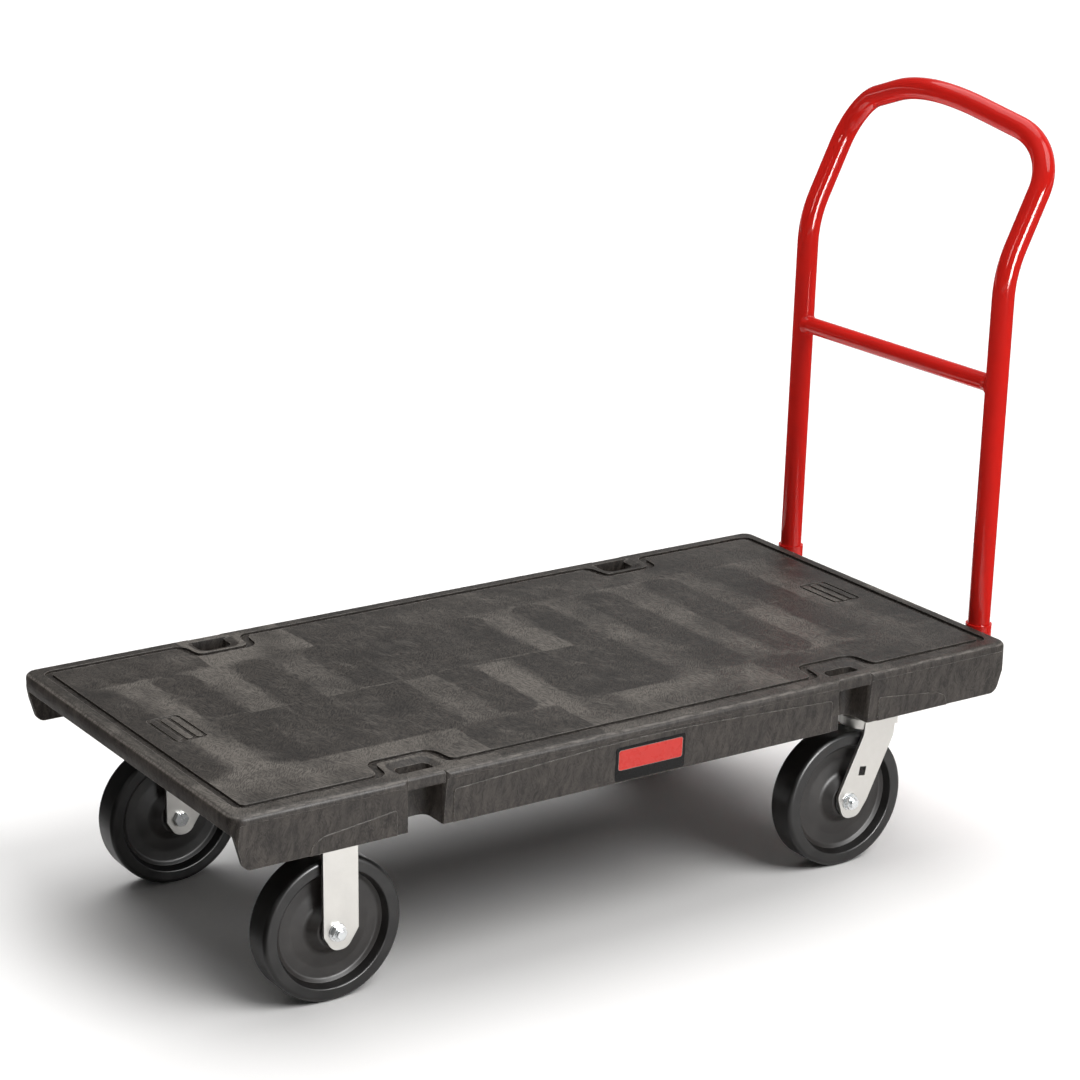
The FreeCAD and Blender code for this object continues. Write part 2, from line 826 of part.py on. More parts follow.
def handle_socket(side):
    """Socket tube welded through its flat bracket."""
    direction = leg_direction()
    depth = socket_depth + socket_floor
    sleeve = Part.makeCylinder(socket_radius, depth + socket_top, leg_point(side, -depth), direction)
    socket = sleeve.fuse(socket_bracket(side))
    bore = Part.makeCylinder(tube_radius + socket_clearance, depth + SPARE,
                             leg_point(side, -socket_depth), direction)
    drain = Part.makeCylinder(socket_drain_radius, 2 * socket_floor, leg_point(side, -depth - 1), direction)
    return socket.cut([bore, drain]).removeSplitter()


# ---------------------------------------------------------------- fasteners

def hex_bolt(x, y, seat_z, radius, across_flats, head_height, reach, washer_height):
    """A bolt driven upwards with its washer, seated under a plate."""
    head = hexagon(across_flats, head_height).mirror(Vec(0, 0, 0), UP)
    head.translate(Vec(x, y, seat_z - washer_height))
    shank = upright(radius, x, y, seat_z - washer_height - 1, seat_z + reach)
    washer = upright(across_flats * WASHER_WIDTH, x, y, seat_z - washer_height, seat_z)
    washer = washer.cut(upright(radius + running_gap, x, y, seat_z - washer_height - 1, seat_z + 1))
    return [head.fuse(shank), washer]


def caster_bolts(centres):
    """Bolts and washers of one pair of casters."""
    solids = []
    for x, y in centres:
        for bolt_x, bolt_y in caster_bolt_points(x, y):
            solids += hex_bolt(bolt_x, bolt_y, plate_bottom_z, caster_bolt_radius, caster_bolt_flats,
                               caster_bolt_head, mount_plate + caster_bolt_reach, caster_washer)
    return Part.makeCompound(solids)


def socket_bolts():
    """Bolts and washers holding both handle brackets."""
    seat_z = lip_bottom_z - bracket_thickness
    solids = []
    for side in (-1, 1):
        for bolt_x, bolt_y in socket_bolt_points(side):
            solids += hex_bolt(bolt_x, bolt_y, seat_z, socket_bolt_radius, socket_bolt_flats,
                               socket_bolt_head, bracket_thickness + socket_bolt_reach, socket_washer)
    return Part.makeCompound(solids)


# ---------------------------------------------------------------- casters

def mounting_plate(x, y):
    """Flat caster plate with bolt slots."""
    face = plan_rectangle(x - plate_size_x / 2, x + plate_size_x / 2, y - plate_size_y / 2,
                          y + plate_size_y / 2, plate_bottom_z, mount_plate_radius)
    plate = face.extrude(Vec(0, 0, mount_plate))
    half = caster_bolt_radius + bolt_hole_gap
    slots = []
    for bolt_x, bolt_y in caster_bolt_points(x, y):
        slot = plan_rectangle(bolt_x - half, bolt_x + half, bolt_y - half - bolt_slot_travel,
                              bolt_y + half + bolt_slot_travel, plate_bottom_z - 1, half * 0.98)
        slots.append(slot.extrude(Vec(0, 0, mount_plate + 2)))
    return plate.cut(slots)


def leg_plates(points, radii, x, y):
    """A pair of fork legs from one outline given from the axle."""
    placed = [Vec(x + px, 0, wheel_radius + pz) for px, pz in points]
    legs = []
    for offset in (fork_inner, -fork_outer):
        leg = rounded_outline(placed, radii).extrude(Vec(0, fork_plate, 0))
        leg.translate(Vec(0, y + offset, 0))
        legs.append(leg)
    return legs


def axle_hole(x, y):
    """Clearance hole for the axle through both legs."""
    reach = fork_outer + SPARE
    return crosswise(axle_radius + axle_hole_gap, x, wheel_radius, y - reach, y + reach)


def rigid_fork(side):
    """Mounting plate with two straight legs welded beneath it."""
    y = side * caster_y
    top = plate_bottom_z - wheel_radius + mount_plate / 2
    front = -rigid_leg_front
    back = rigid_leg_back
    drop = -leg_nose_drop
    points = [
        (front, top), (front, -rigid_leg_front_drop), (-rigid_nose_front, drop),
        (rigid_nose_back, drop), (back, 0), (back, top),
    ]
    half_radii = [0, leg_shoulder_radius, leg_nose_radius]
    legs = leg_plates(points, half_radii + half_radii[::-1], rigid_x, y)
    fork = mounting_plate(rigid_x, y).multiFuse(legs)
    for outward in (-1, 1):
        face_y = y + outward * fork_outer
        start_x = rigid_x + front + weld_end_gap
        bead = [
            Vec(start_x, face_y, plate_bottom_z),
            Vec(start_x, face_y + outward * fork_weld, plate_bottom_z),
            Vec(start_x, face_y, plate_bottom_z - fork_weld),
        ]
        run = Vec(back - front - 2 * weld_end_gap, 0, 0)
        fork = fork.fuse(rounded_outline(bead, [0] * 3).extrude(run))
    return fork.cut(axle_hole(rigid_x, y)).removeSplitter()


def race_track(side):
    """Clearance for the ball race between plate and crown."""
    centre = Vec(swivel_x, side * caster_y, race_z)
    return Part.makeTorus(race_radius, race_ring_radius + running_gap, centre, UP)


def race_ring(side):
    """Closed ring of the ball race."""
    return Part.makeTorus(race_radius, race_ring_radius, Vec(swivel_x, side * caster_y, race_z), UP)


def swivel_plate(side):
    """Mounting plate with the pressed upper raceway round the pin."""
    y = side * caster_y
    cup = Part.makeCone(race_cup_radius, race_cup_top_radius, race_cup_depth,
                        Vec(swivel_x, y, cup_bottom_z), UP)
    hole = upright(kingpin_radius + running_gap, swivel_x, y, cup_bottom_z - 1, pad_bottom_z + 1)
    return mounting_plate(swivel_x, y).fuse(cup).cut([race_track(side), hole]).removeSplitter()


def kingpin(side):
    """Pin through the plate with its head inside the crown."""
    y = side * caster_y
    under = crown_top_z - crown_wall
    head_top = under - foot_gap
    shank = upright(kingpin_radius, swivel_x, y, head_top - 1, pad_bottom_z - foot_gap)
    rim_bottom = head_top - kingpin_head_rim
    rim = upright(kingpin_head_radius, swivel_x, y, rim_bottom, head_top)
    head = Part.makeCone(kingpin_head_radius - kingpin_head_taper, kingpin_head_radius,
                         kingpin_head_taper, Vec(swivel_x, y, rim_bottom - kingpin_head_taper), UP)
    return shank.multiFuse([rim, head]).removeSplitter()


def crown_form(side, radius, half_depth, back, top):
    """Rounded nose towards the wheel, flat sides and a straight back."""
    y = side * caster_y
    height = top - crown_bottom_z
    nose = Part.makeCylinder(radius, height, Vec(swivel_x, y, crown_bottom_z), UP)
    rear = box(swivel_x, swivel_x + back, y - half_depth, y + half_depth, crown_bottom_z, top)
    room = box(swivel_x - radius, swivel_x + back, y - half_depth, y + half_depth, crown_bottom_z, top)
    return nose.fuse(rear).common(room).removeSplitter()


def swivel_crown(side):
    """Domed top of the yoke, hollow below."""
    outer = crown_form(side, crown_radius, fork_outer, crown_back, crown_top_z)
    rim = [e for e in outer.Edges if abs(e.BoundBox.ZMin - crown_top_z) < 1e-6]
    outer = outer.makeFillet(crown_edge_radius, rim)
    hollow = crown_form(side, crown_radius - crown_wall, fork_inner, crown_back - crown_wall,
                        crown_top_z - crown_wall)
    return outer.cut(hollow)


def swivel_yoke(side):
    """Crown with two trailing legs, turning on the pin."""
    y = side * caster_y
    top = crown_top_z - crown_edge_radius - wheel_radius
    lead = swivel_lead
    drop = -leg_nose_drop
    outline = [
        (lead - yoke_root_front, top, yoke_root_radius),
        (lead - yoke_neck_front, top - yoke_neck_front_drop, yoke_neck_front_radius),
        (-yoke_eye_front, yoke_eye_front_rise, leg_nose_radius),
        (-yoke_nose_front, drop, leg_nose_radius),
        (yoke_nose_back, drop, leg_nose_radius),
        (yoke_eye_back, -yoke_eye_back_drop, yoke_back_radius),
        (lead + yoke_neck_back, top - yoke_neck_back_drop, yoke_back_radius),
        (lead + yoke_root_back, top, yoke_root_radius),
    ]
    points = [(x, z) for x, z, radius in outline]
    legs = leg_plates(points, [radius for x, z, radius in outline], swivel_wheel_x, y)
    pin_hole = upright(kingpin_radius + running_gap, swivel_x, y, crown_bottom_z, crown_top_z + SPARE)
    reach = fork_outer + SPARE
    tab = box(-tab_hole_length / 2, tab_hole_length / 2, y - reach, y + reach,
              -tab_hole_height / 2, tab_hole_height / 2)
    tab.rotate(Vec(0, 0, 0), ACROSS, tab_hole_turn)
    tab.translate(Vec(swivel_wheel_x + tab_hole_x, 0, wheel_radius + tab_hole_rise))
    yoke = swivel_crown(side).multiFuse(legs)
    return yoke.cut([pin_hole, race_track(side), tab, axle_hole(swivel_wheel_x, y)]).removeSplitter()


# ---------------------------------------------------------------- wheels

def turned(half, x, y):
    """Revolve a (radius, offset, corner radius) half outline, mirrored about the wheel's middle."""
    profile = half + [(radius, -offset, corner) for radius, offset, corner in reversed(half)]
    points = [Vec(x + radius, y + offset, wheel_radius) for radius, offset, corner in profile]
    face = rounded_outline(points, [corner for radius, offset, corner in profile])
    return face.revolve(Vec(x, y, wheel_radius), ACROSS, 360)


def tyre(x, y):
    """Tread with rounded shoulders and a flat ring on each side."""
    half = tread_width / 2
    return turned([
        (tyre_inner_radius, tyre_inner_width / 2, 0),
        (tyre_lip_radius, half, tyre_lip_edge_radius),
        (wheel_radius, half, tread_edge_radius),
    ], x, y)


def wheel_core(x, y):
    """Disc with a recessed web, flaring into the hub."""
    web = web_thickness / 2
    return turned([
        (bearing_outer_radius, hub_half_width, 0),
        (hub_radius, hub_half_width, hub_edge_radius),
        (hub_flare_radius, web + hub_flare_rise, hub_flare_bend),
        ((hub_flare_radius + tyre_inner_radius) / 2, web, web_bend_radius),
        (tyre_inner_radius - web_edge_width, web, web_edge_radius),
        (tyre_inner_radius, tyre_inner_width / 2, 0),
    ], x, y)


def wheel_bearing(x, y):
    """Bushing pressed into the hub and turning on the sleeve."""
    return turned([
        (sleeve_radius + running_gap, hub_half_width, 0),
        (bearing_outer_radius, hub_half_width, 0),
    ], x, y)


def axle_sleeve(x, y):
    """Spacer sleeve clamped between the legs by the axle bolt."""
    return turned([
        (axle_radius + running_gap, fork_inner, 0),
        (sleeve_radius, fork_inner, 0),
    ], x, y)


def thrust_washers(x, y):
    """Washers between hub and legs, one each side."""
    solids = []
    for outward in (-1, 1):
        ends = (y + outward * (hub_half_width + washer_gap), y + outward * fork_inner)
        ring = crosswise(thrust_washer_radius, x, wheel_radius, min(ends), max(ends))
        solids.append(ring.cut(crosswise(sleeve_radius + running_gap, x, wheel_radius, min(ends), max(ends))))
    return Part.makeCompound(solids)


def axle_bolt(x, y, side):
    """Axle bolt, head on the inner side and thread end on the outer side."""
    head = hexagon(AXLE_FLATS * axle_radius, AXLE_HEAD_HEIGHT * axle_radius)
    head.rotate(Vec(0, 0, 0), Vec(1, 0, 0), 90 * side)
    head.translate(Vec(x, y - side * fork_outer, wheel_radius))
    ends = (y - side * (fork_outer + 1), y + side * (fork_outer + axle_tail))
    return head.fuse(crosswise(axle_radius, x, wheel_radius, min(ends), max(ends))).removeSplitter()


def axle_nut(x, y, side):
    """Flanged lock nut with a round collar."""
    flange = Part.makeCone(AXLE_FLANGE_WIDTH * axle_radius, AXLE_FLANGE_RIM * axle_radius,
                           nut_flange, Vec(0, 0, 0), UP)
    collar = upright(AXLE_COLLAR_WIDTH * axle_radius, 0, 0, nut_flange / 2, AXLE_COLLAR_HEIGHT * axle_radius)
    nut = hexagon(AXLE_FLATS * axle_radius, AXLE_NUT_HEIGHT * axle_radius).multiFuse([flange, collar])
    nut = nut.cut(upright(axle_radius + running_gap, 0, 0, -1, axle_tail + SPARE))
    nut.rotate(Vec(0, 0, 0), Vec(1, 0, 0), -90 * side)
    nut.translate(Vec(x, y + side * fork_outer, wheel_radius))
    return nut.removeSplitter()


# ---------------------------------------------------------------- export

handle = handle_tube()
handle_reach = handle_axis().optimalBoundingBox().XMax + tube_radius
centre_shift = Vec((half_length - handle_reach) / 2, 0, 0)


def export(name, shape):
    """Move a finished shape into the truck's frame and write it."""
    placed = shape.copy()
    placed.translate(centre_shift)
    placed.exportStep("parts/" + name + ".step")


def export_wheel(label, x, side):
    """All pieces carried on one axle."""
    y = side * caster_y
    export("tyre_" + label, tyre(x, y))
    export("wheel_core_" + label, wheel_core(x, y))
    export("wheel_bearing_" + label, wheel_bearing(x, y))
    export("axle_sleeve_" + label, axle_sleeve(x, y))
    export("thrust_washers_" + label, thrust_washers(x, y))
    export("axle_bolt_" + label, axle_bolt(x, y, side))
    export("axle_nut_" + label, axle_nut(x, y, side))


export("deck_body", deck_body())
export("handle_tube", handle)
export("handle_crossbar", handle_crossbar())
export("leg_plugs", leg_plugs())
export("socket_bolts", socket_bolts())
export("rigid_caster_bolts", caster_bolts(caster_centres()[:2]))
export("swivel_caster_bolts", caster_bolts(caster_centres()[2:]))
for side, name in ((-1, "left"), (1, "right")):
    export("handle_socket_" + name, handle_socket(side))
    export("rigid_fork_" + name, rigid_fork(side))
    export("swivel_plate_" + name, swivel_plate(side))
    export("race_ring_" + name, race_ring(side))
    export("kingpin_" + name, kingpin(side))
    export("swivel_yoke_" + name, swivel_yoke(side))
    export_wheel("rigid_" + name, rigid_x, side)
    export_wheel("swivel_" + name, swivel_wheel_x, side)
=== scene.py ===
"""Looks of a moulded platform truck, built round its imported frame. Units are metres."""
import json
import logging
import math
from dataclasses import dataclass, field
from enum import Enum

import bmesh
import bpy
from mathutils import Matrix, Vector


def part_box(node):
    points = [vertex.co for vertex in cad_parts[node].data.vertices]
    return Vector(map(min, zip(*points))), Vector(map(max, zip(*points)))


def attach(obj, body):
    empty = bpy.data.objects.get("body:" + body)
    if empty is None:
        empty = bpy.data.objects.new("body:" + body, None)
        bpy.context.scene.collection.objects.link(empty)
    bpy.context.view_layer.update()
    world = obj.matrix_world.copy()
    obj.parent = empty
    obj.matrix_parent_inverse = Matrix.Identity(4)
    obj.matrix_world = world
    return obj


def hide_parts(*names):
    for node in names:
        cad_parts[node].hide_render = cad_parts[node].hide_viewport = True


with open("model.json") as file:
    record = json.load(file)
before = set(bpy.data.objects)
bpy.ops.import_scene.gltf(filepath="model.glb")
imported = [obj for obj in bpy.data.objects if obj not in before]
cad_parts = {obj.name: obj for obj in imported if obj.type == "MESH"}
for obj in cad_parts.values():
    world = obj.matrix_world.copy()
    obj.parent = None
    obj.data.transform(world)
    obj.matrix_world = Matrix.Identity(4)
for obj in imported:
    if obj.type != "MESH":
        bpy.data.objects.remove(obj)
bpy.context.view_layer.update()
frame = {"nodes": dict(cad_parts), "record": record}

MM = 0.001
LOG = logging.getLogger("platform_truck")


class Side(Enum):
    """The two long sides of the truck."""

    LEFT = -1
    RIGHT = 1

    @property
    def word(self) -> str:
        """Name used in the frame's nodes."""
        return self.name.lower()


class CasterKind(Enum):
    """The two kinds of caster, as the frame's nodes name them."""

    RIGID = "rigid"
    SWIVEL = "swivel"


# ------------------------------------------------------------------ colour and nodes


def linear(hex_code: str, alpha: float = 1.0) -> tuple[float, float, float, float]:
    """Turn an sRGB hex colour into linear light.

    Args:
        hex_code: Six hex digits with a leading hash.
        alpha: Opacity to append.

    Returns:
        Linear red, green, blue and alpha.
    """
    values = [int(hex_code[i:i + 2], 16) / 255 for i in (1, 3, 5)]
    red, green, blue = (v / 12.92 if v <= 0.04045 else ((v + 0.055) / 1.055) ** 2.4 for v in values)
    return red, green, blue, alpha


def add(tree: bpy.types.NodeTree, kind: str, inputs: dict | None = None,
        **settings: object) -> bpy.types.Node:
    """Add one node with its settings, values and links.

    Args:
        tree: Node tree that takes the node.
        kind: Node type.
        inputs: Socket name or number to a value or to an output socket.
        **settings: Properties of the node.

    Returns:
        The new node.
    """
    made = tree.nodes.new(kind)
    for name, value in settings.items():
        setattr(made, name, value)
    for key, value in (inputs or {}).items():
        if isinstance(value, bpy.types.NodeSocket):
            tree.links.new(value, made.inputs[key])
        else:
            made.inputs[key].default_value = value
    return made


class Shader:
    """A material's node tree with a principled shader at its end."""

    def __init__(self, name: str) -> None:
        """Start an empty material.

        Args:
            name: Name of the material.
        """
        self.material = bpy.data.materials.new(name)
        self.material.use_nodes = True
        self.tree = self.material.node_tree
        self.tree.nodes.clear()
        self.bsdf = add(self.tree, "ShaderNodeBsdfPrincipled")
        add(self.tree, "ShaderNodeOutputMaterial", {"Surface": self.bsdf.outputs[0]})
        self.place = add(self.tree, "ShaderNodeTexCoord").outputs["Object"]

    def add(self, kind: str, inputs: dict | None = None, **settings: object) -> bpy.types.Node:
        """Add a node to this material."""
        return add(self.tree, kind, inputs, **settings)

    def maths(self, operation: str, *values: object) -> bpy.types.NodeSocket:
        """One maths step on values or sockets, giving its result."""
        return self.add("ShaderNodeMath", dict(enumerate(values)), operation=operation).outputs[0]

    def total(self, *parts: tuple[object, float]) -> bpy.types.NodeSocket:
        """Add sockets up by weight.

        Args:
            *parts: Pairs of a value or socket and its weight.

        Returns:
            The weighted sum.
        """
        result = self.maths("MULTIPLY", *parts[0])
        for value, weight in parts[1:]:
            result = self.maths("MULTIPLY_ADD", value, weight, result)
        return result

    def sized(self, size_mm: tuple[float, float, float], turn: tuple[float, float, float] = (0, 0, 0),
              source: bpy.types.NodeSocket | None = None) -> bpy.types.NodeSocket:
        """Object coordinates turned, then divided so that one unit is a real size along each axis.

        Args:
            size_mm: Size of one unit along each axis, in millimetres.
            turn: Turn of the axes in radians.
            source: Coordinates to start from, or none for the object's own.

        Returns:
            The new coordinates.
        """
        made = self.add("ShaderNodeMapping", {
            "Vector": source or self.place,
            "Rotation": turn,
            "Scale": tuple(s * MM for s in size_mm),
        }, vector_type="TEXTURE")
        return made.outputs[0]

    def noise(self, vector: bpy.types.NodeSocket, detail: float = 3.0,
              roughness: float = 0.5) -> bpy.types.NodeSocket:
        """Read soft noise at a vector.

        Args:
            vector: Where to read it.
            detail: Number of finer layers.
            roughness: Strength of the finer layers.

        Returns:
            The noise's value.
        """
        made = self.add("ShaderNodeTexNoise", {
            "Vector": vector, "Scale": 1.0, "Detail": detail, "Roughness": roughness,
        })
        return made.outputs[0]

    def ramp(self, value: bpy.types.NodeSocket, low: float, high: float,
             to_low: float = 0.0, to_high: float = 1.0) -> bpy.types.NodeSocket:
        """Carry a value smoothly from one range to another, clamped.

        Args:
            value: The value.
            low: Where its range starts.
            high: Where its range ends.
            to_low: Result at the start.
            to_high: Result at the end.

        Returns:
            The carried value.
        """
        made = self.add("ShaderNodeMapRange", {
            0: value, 1: low, 2: high, 3: to_low, 4: to_high,
        }, interpolation_type="SMOOTHSTEP")
        return made.outputs[0]

    def between(self, share: object, first: object, second: object) -> bpy.types.NodeSocket:
        """Mix two values by a share."""
        return self.add("ShaderNodeMix", {0: share, 2: first, 3: second}).outputs[0]

    def blend(self, share: object, first: object, second: object) -> bpy.types.NodeSocket:
        """Mix two colours by a share."""
        return self.add("ShaderNodeMix", {0: share, 6: first, 7: second}, data_type="RGBA").outputs[2]

    def swirled(self, size_mm: float, push_mm: float) -> bpy.types.NodeSocket:
        """Push object coordinates about by slow noise, so that what is read there curls.

        Args:
            size_mm: Size of the curls.
            push_mm: How far a point may move.

        Returns:
            The pushed coordinates.
        """
        slow = self.add("ShaderNodeTexNoise", {
            "Vector": self.sized((size_mm,) * 3), "Scale": 1.0, "Detail": 2.0,
        })
        centred = self.add("ShaderNodeVectorMath", {0: slow.outputs["Color"], 1: (0.5, 0.5, 0.5)},
                           operation="SUBTRACT")
        push = self.add("ShaderNodeVectorMath", {0: centred.outputs[0], "Scale": 2 * push_mm * MM},
                        operation="SCALE")
        moved = self.add("ShaderNodeVectorMath", {0: self.place, 1: push.outputs[0]}, operation="ADD")
        return moved.outputs[0]

    def bump(self, height: bpy.types.NodeSocket, depth_mm: float, strength: float = 1.0,
             after: bpy.types.NodeSocket | None = None) -> bpy.types.NodeSocket:
        """Turn a height into a bumped normal.

        Args:
            height: Height from 0 to 1.
            depth_mm: How deep a height of 1 is.
            strength: How much of the bump shows.
            after: Normal that it is laid over, or none for the surface's own.

        Returns:
            The bumped normal.
        """
        inputs = {"Height": height, "Distance": depth_mm * MM, "Strength": strength}
        if after is not None:
            inputs["Normal"] = after
        return self.add("ShaderNodeBump", inputs).outputs[0]

    def eased(self, radius_mm: float) -> tuple[bpy.types.NodeSocket, bpy.types.NodeSocket]:
        """Round the normal over sharp edges.

        Args:
            radius_mm: Radius of the rounding.

        Returns:
            The rounded normal, and a mask of where it turns away from the face.
        """
        soft = self.add("ShaderNodeBevel", {"Radius": radius_mm * MM}, samples=6).outputs[0]
        flat = self.add("ShaderNodeNewGeometry").outputs["Normal"]
        match = self.add("ShaderNodeVectorMath", {0: soft, 1: flat}, operation="DOT_PRODUCT")
        return soft, self.ramp(match.outputs["Value"], 0.999, 0.90)

    def finish(self, **sockets: object) -> bpy.types.Material:
        """Set the shader's sockets and return the material.

        Args:
            **sockets: Socket name with underscores for spaces, to a value or an output.

        Returns:
            The finished material.
        """
        for name, value in sockets.items():
            socket = self.bsdf.inputs[name.replace("_", " ")]
            if isinstance(value, bpy.types.NodeSocket):
                self.tree.links.new(value, socket)
            else:
                socket.default_value = value
        return self.material


# ------------------------------------------------------------------ finishes


@dataclass(frozen=True)
class StructuralFoam:
    """Moulded polyethylene structural foam.

    The expanding melt leaves a swirled, fibrous skin on the walls. On the load surface the
    ribs below leave dull pale strips between dark round-ended pills, with a faint seam along
    the middle. Handling scuffs the edges pale, and a painted highlight lies pale over the
    sharp edges and along the rounded crests near the top.
    """

    dark: str = "#231f1c"
    light: str = "#524c47"
    top_dark: str = "#1a1715"
    top_light: str = "#433e39"
    # Pale of the rubbed strips on the load surface.
    rubbed: str = "#67625c"
    # Pale of edge scuffs, also used for the painted highlight on the edges and crests.
    scuff: str = "#a9a39c"
    fibre_mm: float = 1.5
    fibre_length_mm: float = 24.0
    grain_mm: float = 1.2  # the real grain is about 0.3 mm, drawn coarser so that it shows
    cloud_mm: float = 85.0
    pill_pitch: float = 115.0
    pill_width: float = 66.0
    pill_reach: float = 188.0
    strip_seed: float = 1.0  # arbitrary: it only shuffles which strips are palest
    band_seed: float = 2.0  # arbitrary, as above
    seam_offset: float = 6.0
    # Share of painted highlight laid pale along the rounded crests near the top.
    crest_wear: float = 0.42

    def wall_fibres(self, s: Shader) -> bpy.types.NodeSocket:
        """Fine upright fibres that lean one way or the other in patches.

        Args:
            s: Material being built.

        Returns:
            Share of pale fibre from 0 to 1.
        """
        moved = s.swirled(32, 9)
        thin, long = self.fibre_mm, self.fibre_length_mm
        left = s.noise(s.sized((thin, thin, long), (0.32, 0.38, 0.0), moved), detail=4, roughness=0.7)
        right = s.noise(s.sized((thin, thin, long), (-0.28, -0.30, 0.0), moved), detail=4, roughness=0.7)
        where = s.ramp(s.noise(s.sized((26, 26, 38)), detail=1), 0.42, 0.58)
        broad = s.noise(s.sized((5 * thin, 5 * thin, 1.6 * long), (0.15, 0.2, 0.0), moved), detail=3)
        return s.ramp(s.total((s.between(where, left, right), 0.62), (broad, 0.38)), 0.34, 0.66)

    def top_fibres(self, s: Shader) -> bpy.types.NodeSocket:
        """Short faint streaks on the load surface, crossed in two directions.

        Args:
            s: Material being built.

        Returns:
            Share of pale fibre from 0 to 1.
        """
        moved = s.swirled(45, 7)
        along = s.noise(s.sized((9, 1.6, 9), (0.0, 0.0, 0.9), moved), detail=4, roughness=0.7)
        across = s.noise(s.sized((1.8, 12, 9), (0.0, 0.0, 0.25), moved), detail=4, roughness=0.7)
        where = s.ramp(s.noise(s.sized((40, 40, 40)), detail=1), 0.4, 0.6)
        return s.ramp(s.between(where, along, across), 0.38, 0.62)

    def pills(self, s: Shader, x: bpy.types.NodeSocket, y: bpy.types.NodeSocket) -> tuple:
        """Mask outside the row of pills, a line just round them, and a number for each half strip.

        Args:
            s: Material being built.
            x: Distance along the deck from its middle.
            y: Distance across the deck from its middle.

        Returns:
            Mask, outline and the strip's own number from 0 to 1.
        """
        pitch = self.pill_pitch * MM
        radius = self.pill_width / 2 * MM
        wave = s.noise(s.sized((60, 60, 60)), detail=2)
        x = s.maths("ADD", x, s.ramp(wave, 0.2, 0.8, -0.003, 0.003))
        shifted = s.maths("ADD", x, 20.5 * pitch)
        local = s.maths("ABSOLUTE", s.maths("SUBTRACT", s.maths("MODULO", shifted, pitch), pitch / 2))
        strip = s.maths("FLOOR", s.maths("DIVIDE", s.maths("ADD", x, 20 * pitch), pitch))
        across = s.maths("ABSOLUTE", y)
        beyond = s.maths("MAXIMUM", s.maths("SUBTRACT", across, self.pill_reach * MM - radius), 0.0)
        squares = s.maths("ADD", s.maths("MULTIPLY", local, local), s.maths("MULTIPLY", beyond, beyond))
        away = s.maths("SQRT", squares)
        feather = s.ramp(s.noise(s.sized((75, 75, 75)), detail=2), 0.42, 0.58)
        outside = s.between(feather, s.ramp(away, radius - 0.004, radius + 0.002),
                            s.ramp(away, radius - 0.016, radius + 0.012))
        line = s.maths("MULTIPLY", outside, s.ramp(away, radius + 0.009, radius))
        half = s.maths("GREATER_THAN", y, 0.0)
        band = s.maths("FLOOR", s.maths("DIVIDE", s.maths("ADD", x, 20.2 * pitch), 1.4 * pitch))
        in_band = s.ramp(across, self.pill_reach * MM - 0.004, self.pill_reach * MM + 0.003)
        number = s.between(in_band, self.cell(s, strip, half, self.strip_seed),
                           self.cell(s, band, half, self.band_seed))
        return outside, line, number

    def cell(self, s: Shader, column: bpy.types.NodeSocket, half: bpy.types.NodeSocket,
             seed: float) -> bpy.types.NodeSocket:
        """A number from 0 to 1 that belongs to one column on one half of the deck."""
        made = s.add("ShaderNodeCombineXYZ", {0: column, 1: half, 2: seed})
        return s.add("ShaderNodeTexWhiteNoise", {"Vector": made.outputs[0]}).outputs["Value"]

    def seams(self, s: Shader, x: bpy.types.NodeSocket, y: bpy.types.NodeSocket) -> bpy.types.NodeSocket:
        """Faint pale seam along the middle, wandering and broken.

        Args:
            s: Material being built.
            x: Distance along the deck from its middle.
            y: Distance across the deck from its middle.

        Returns:
            Mask of the seam.
        """
        wander = s.ramp(s.noise(s.sized((130, 130, 130)), detail=2), 0.2, 0.8, -0.006, 0.006)
        off = s.maths("ABSOLUTE", s.maths("SUBTRACT", s.maths("ADD", y, wander), self.seam_offset * MM))
        broken = s.ramp(s.noise(s.sized((70, 400, 70)), detail=3), 0.40, 0.62)
        return s.maths("MULTIPLY", s.ramp(off, 0.0028, 0.0006), broken)

    def top_wear(self, s: Shader, centre_x: float) -> bpy.types.NodeSocket:
        """How rubbed the load surface is.

        Args:
            s: Material being built.
            centre_x: Middle of the deck along its length, in metres.

        Returns:
            Wear from 0 in the pills to 1 on the palest strips.
        """
        at = s.add("ShaderNodeSeparateXYZ", {0: s.place})
        x = s.maths("SUBTRACT", at.outputs[0], centre_x)
        y = at.outputs[1]
        outside, line, chance = self.pills(s, x, y)
        cloud = s.noise(s.sized((self.cloud_mm,) * 3), detail=4, roughness=0.6)
        fade = s.ramp(s.noise(s.sized((90, 150, 90)), detail=2), 0.36, 0.62, 0.35, 1.15)
        level = s.maths("MULTIPLY", fade, s.ramp(s.total((chance, 0.7), (cloud, 0.9)), 0.45, 1.15))
        strips = s.maths("MULTIPLY", outside, level)
        edge = s.maths("MULTIPLY", line, s.ramp(cloud, 0.4, 0.65, 0.0, 0.35))
        seams = s.maths("MULTIPLY", self.seams(s, x, y), 0.7)
        smear = s.ramp(s.noise(s.sized((22, 55, 55), (0.0, 0.0, 0.5)), detail=5, roughness=0.65),
                       0.5, 0.78, 0.0, 0.5)
        return s.maths("ADD", s.maths("MAXIMUM", s.maths("MAXIMUM", strips, edge), seams), smear)

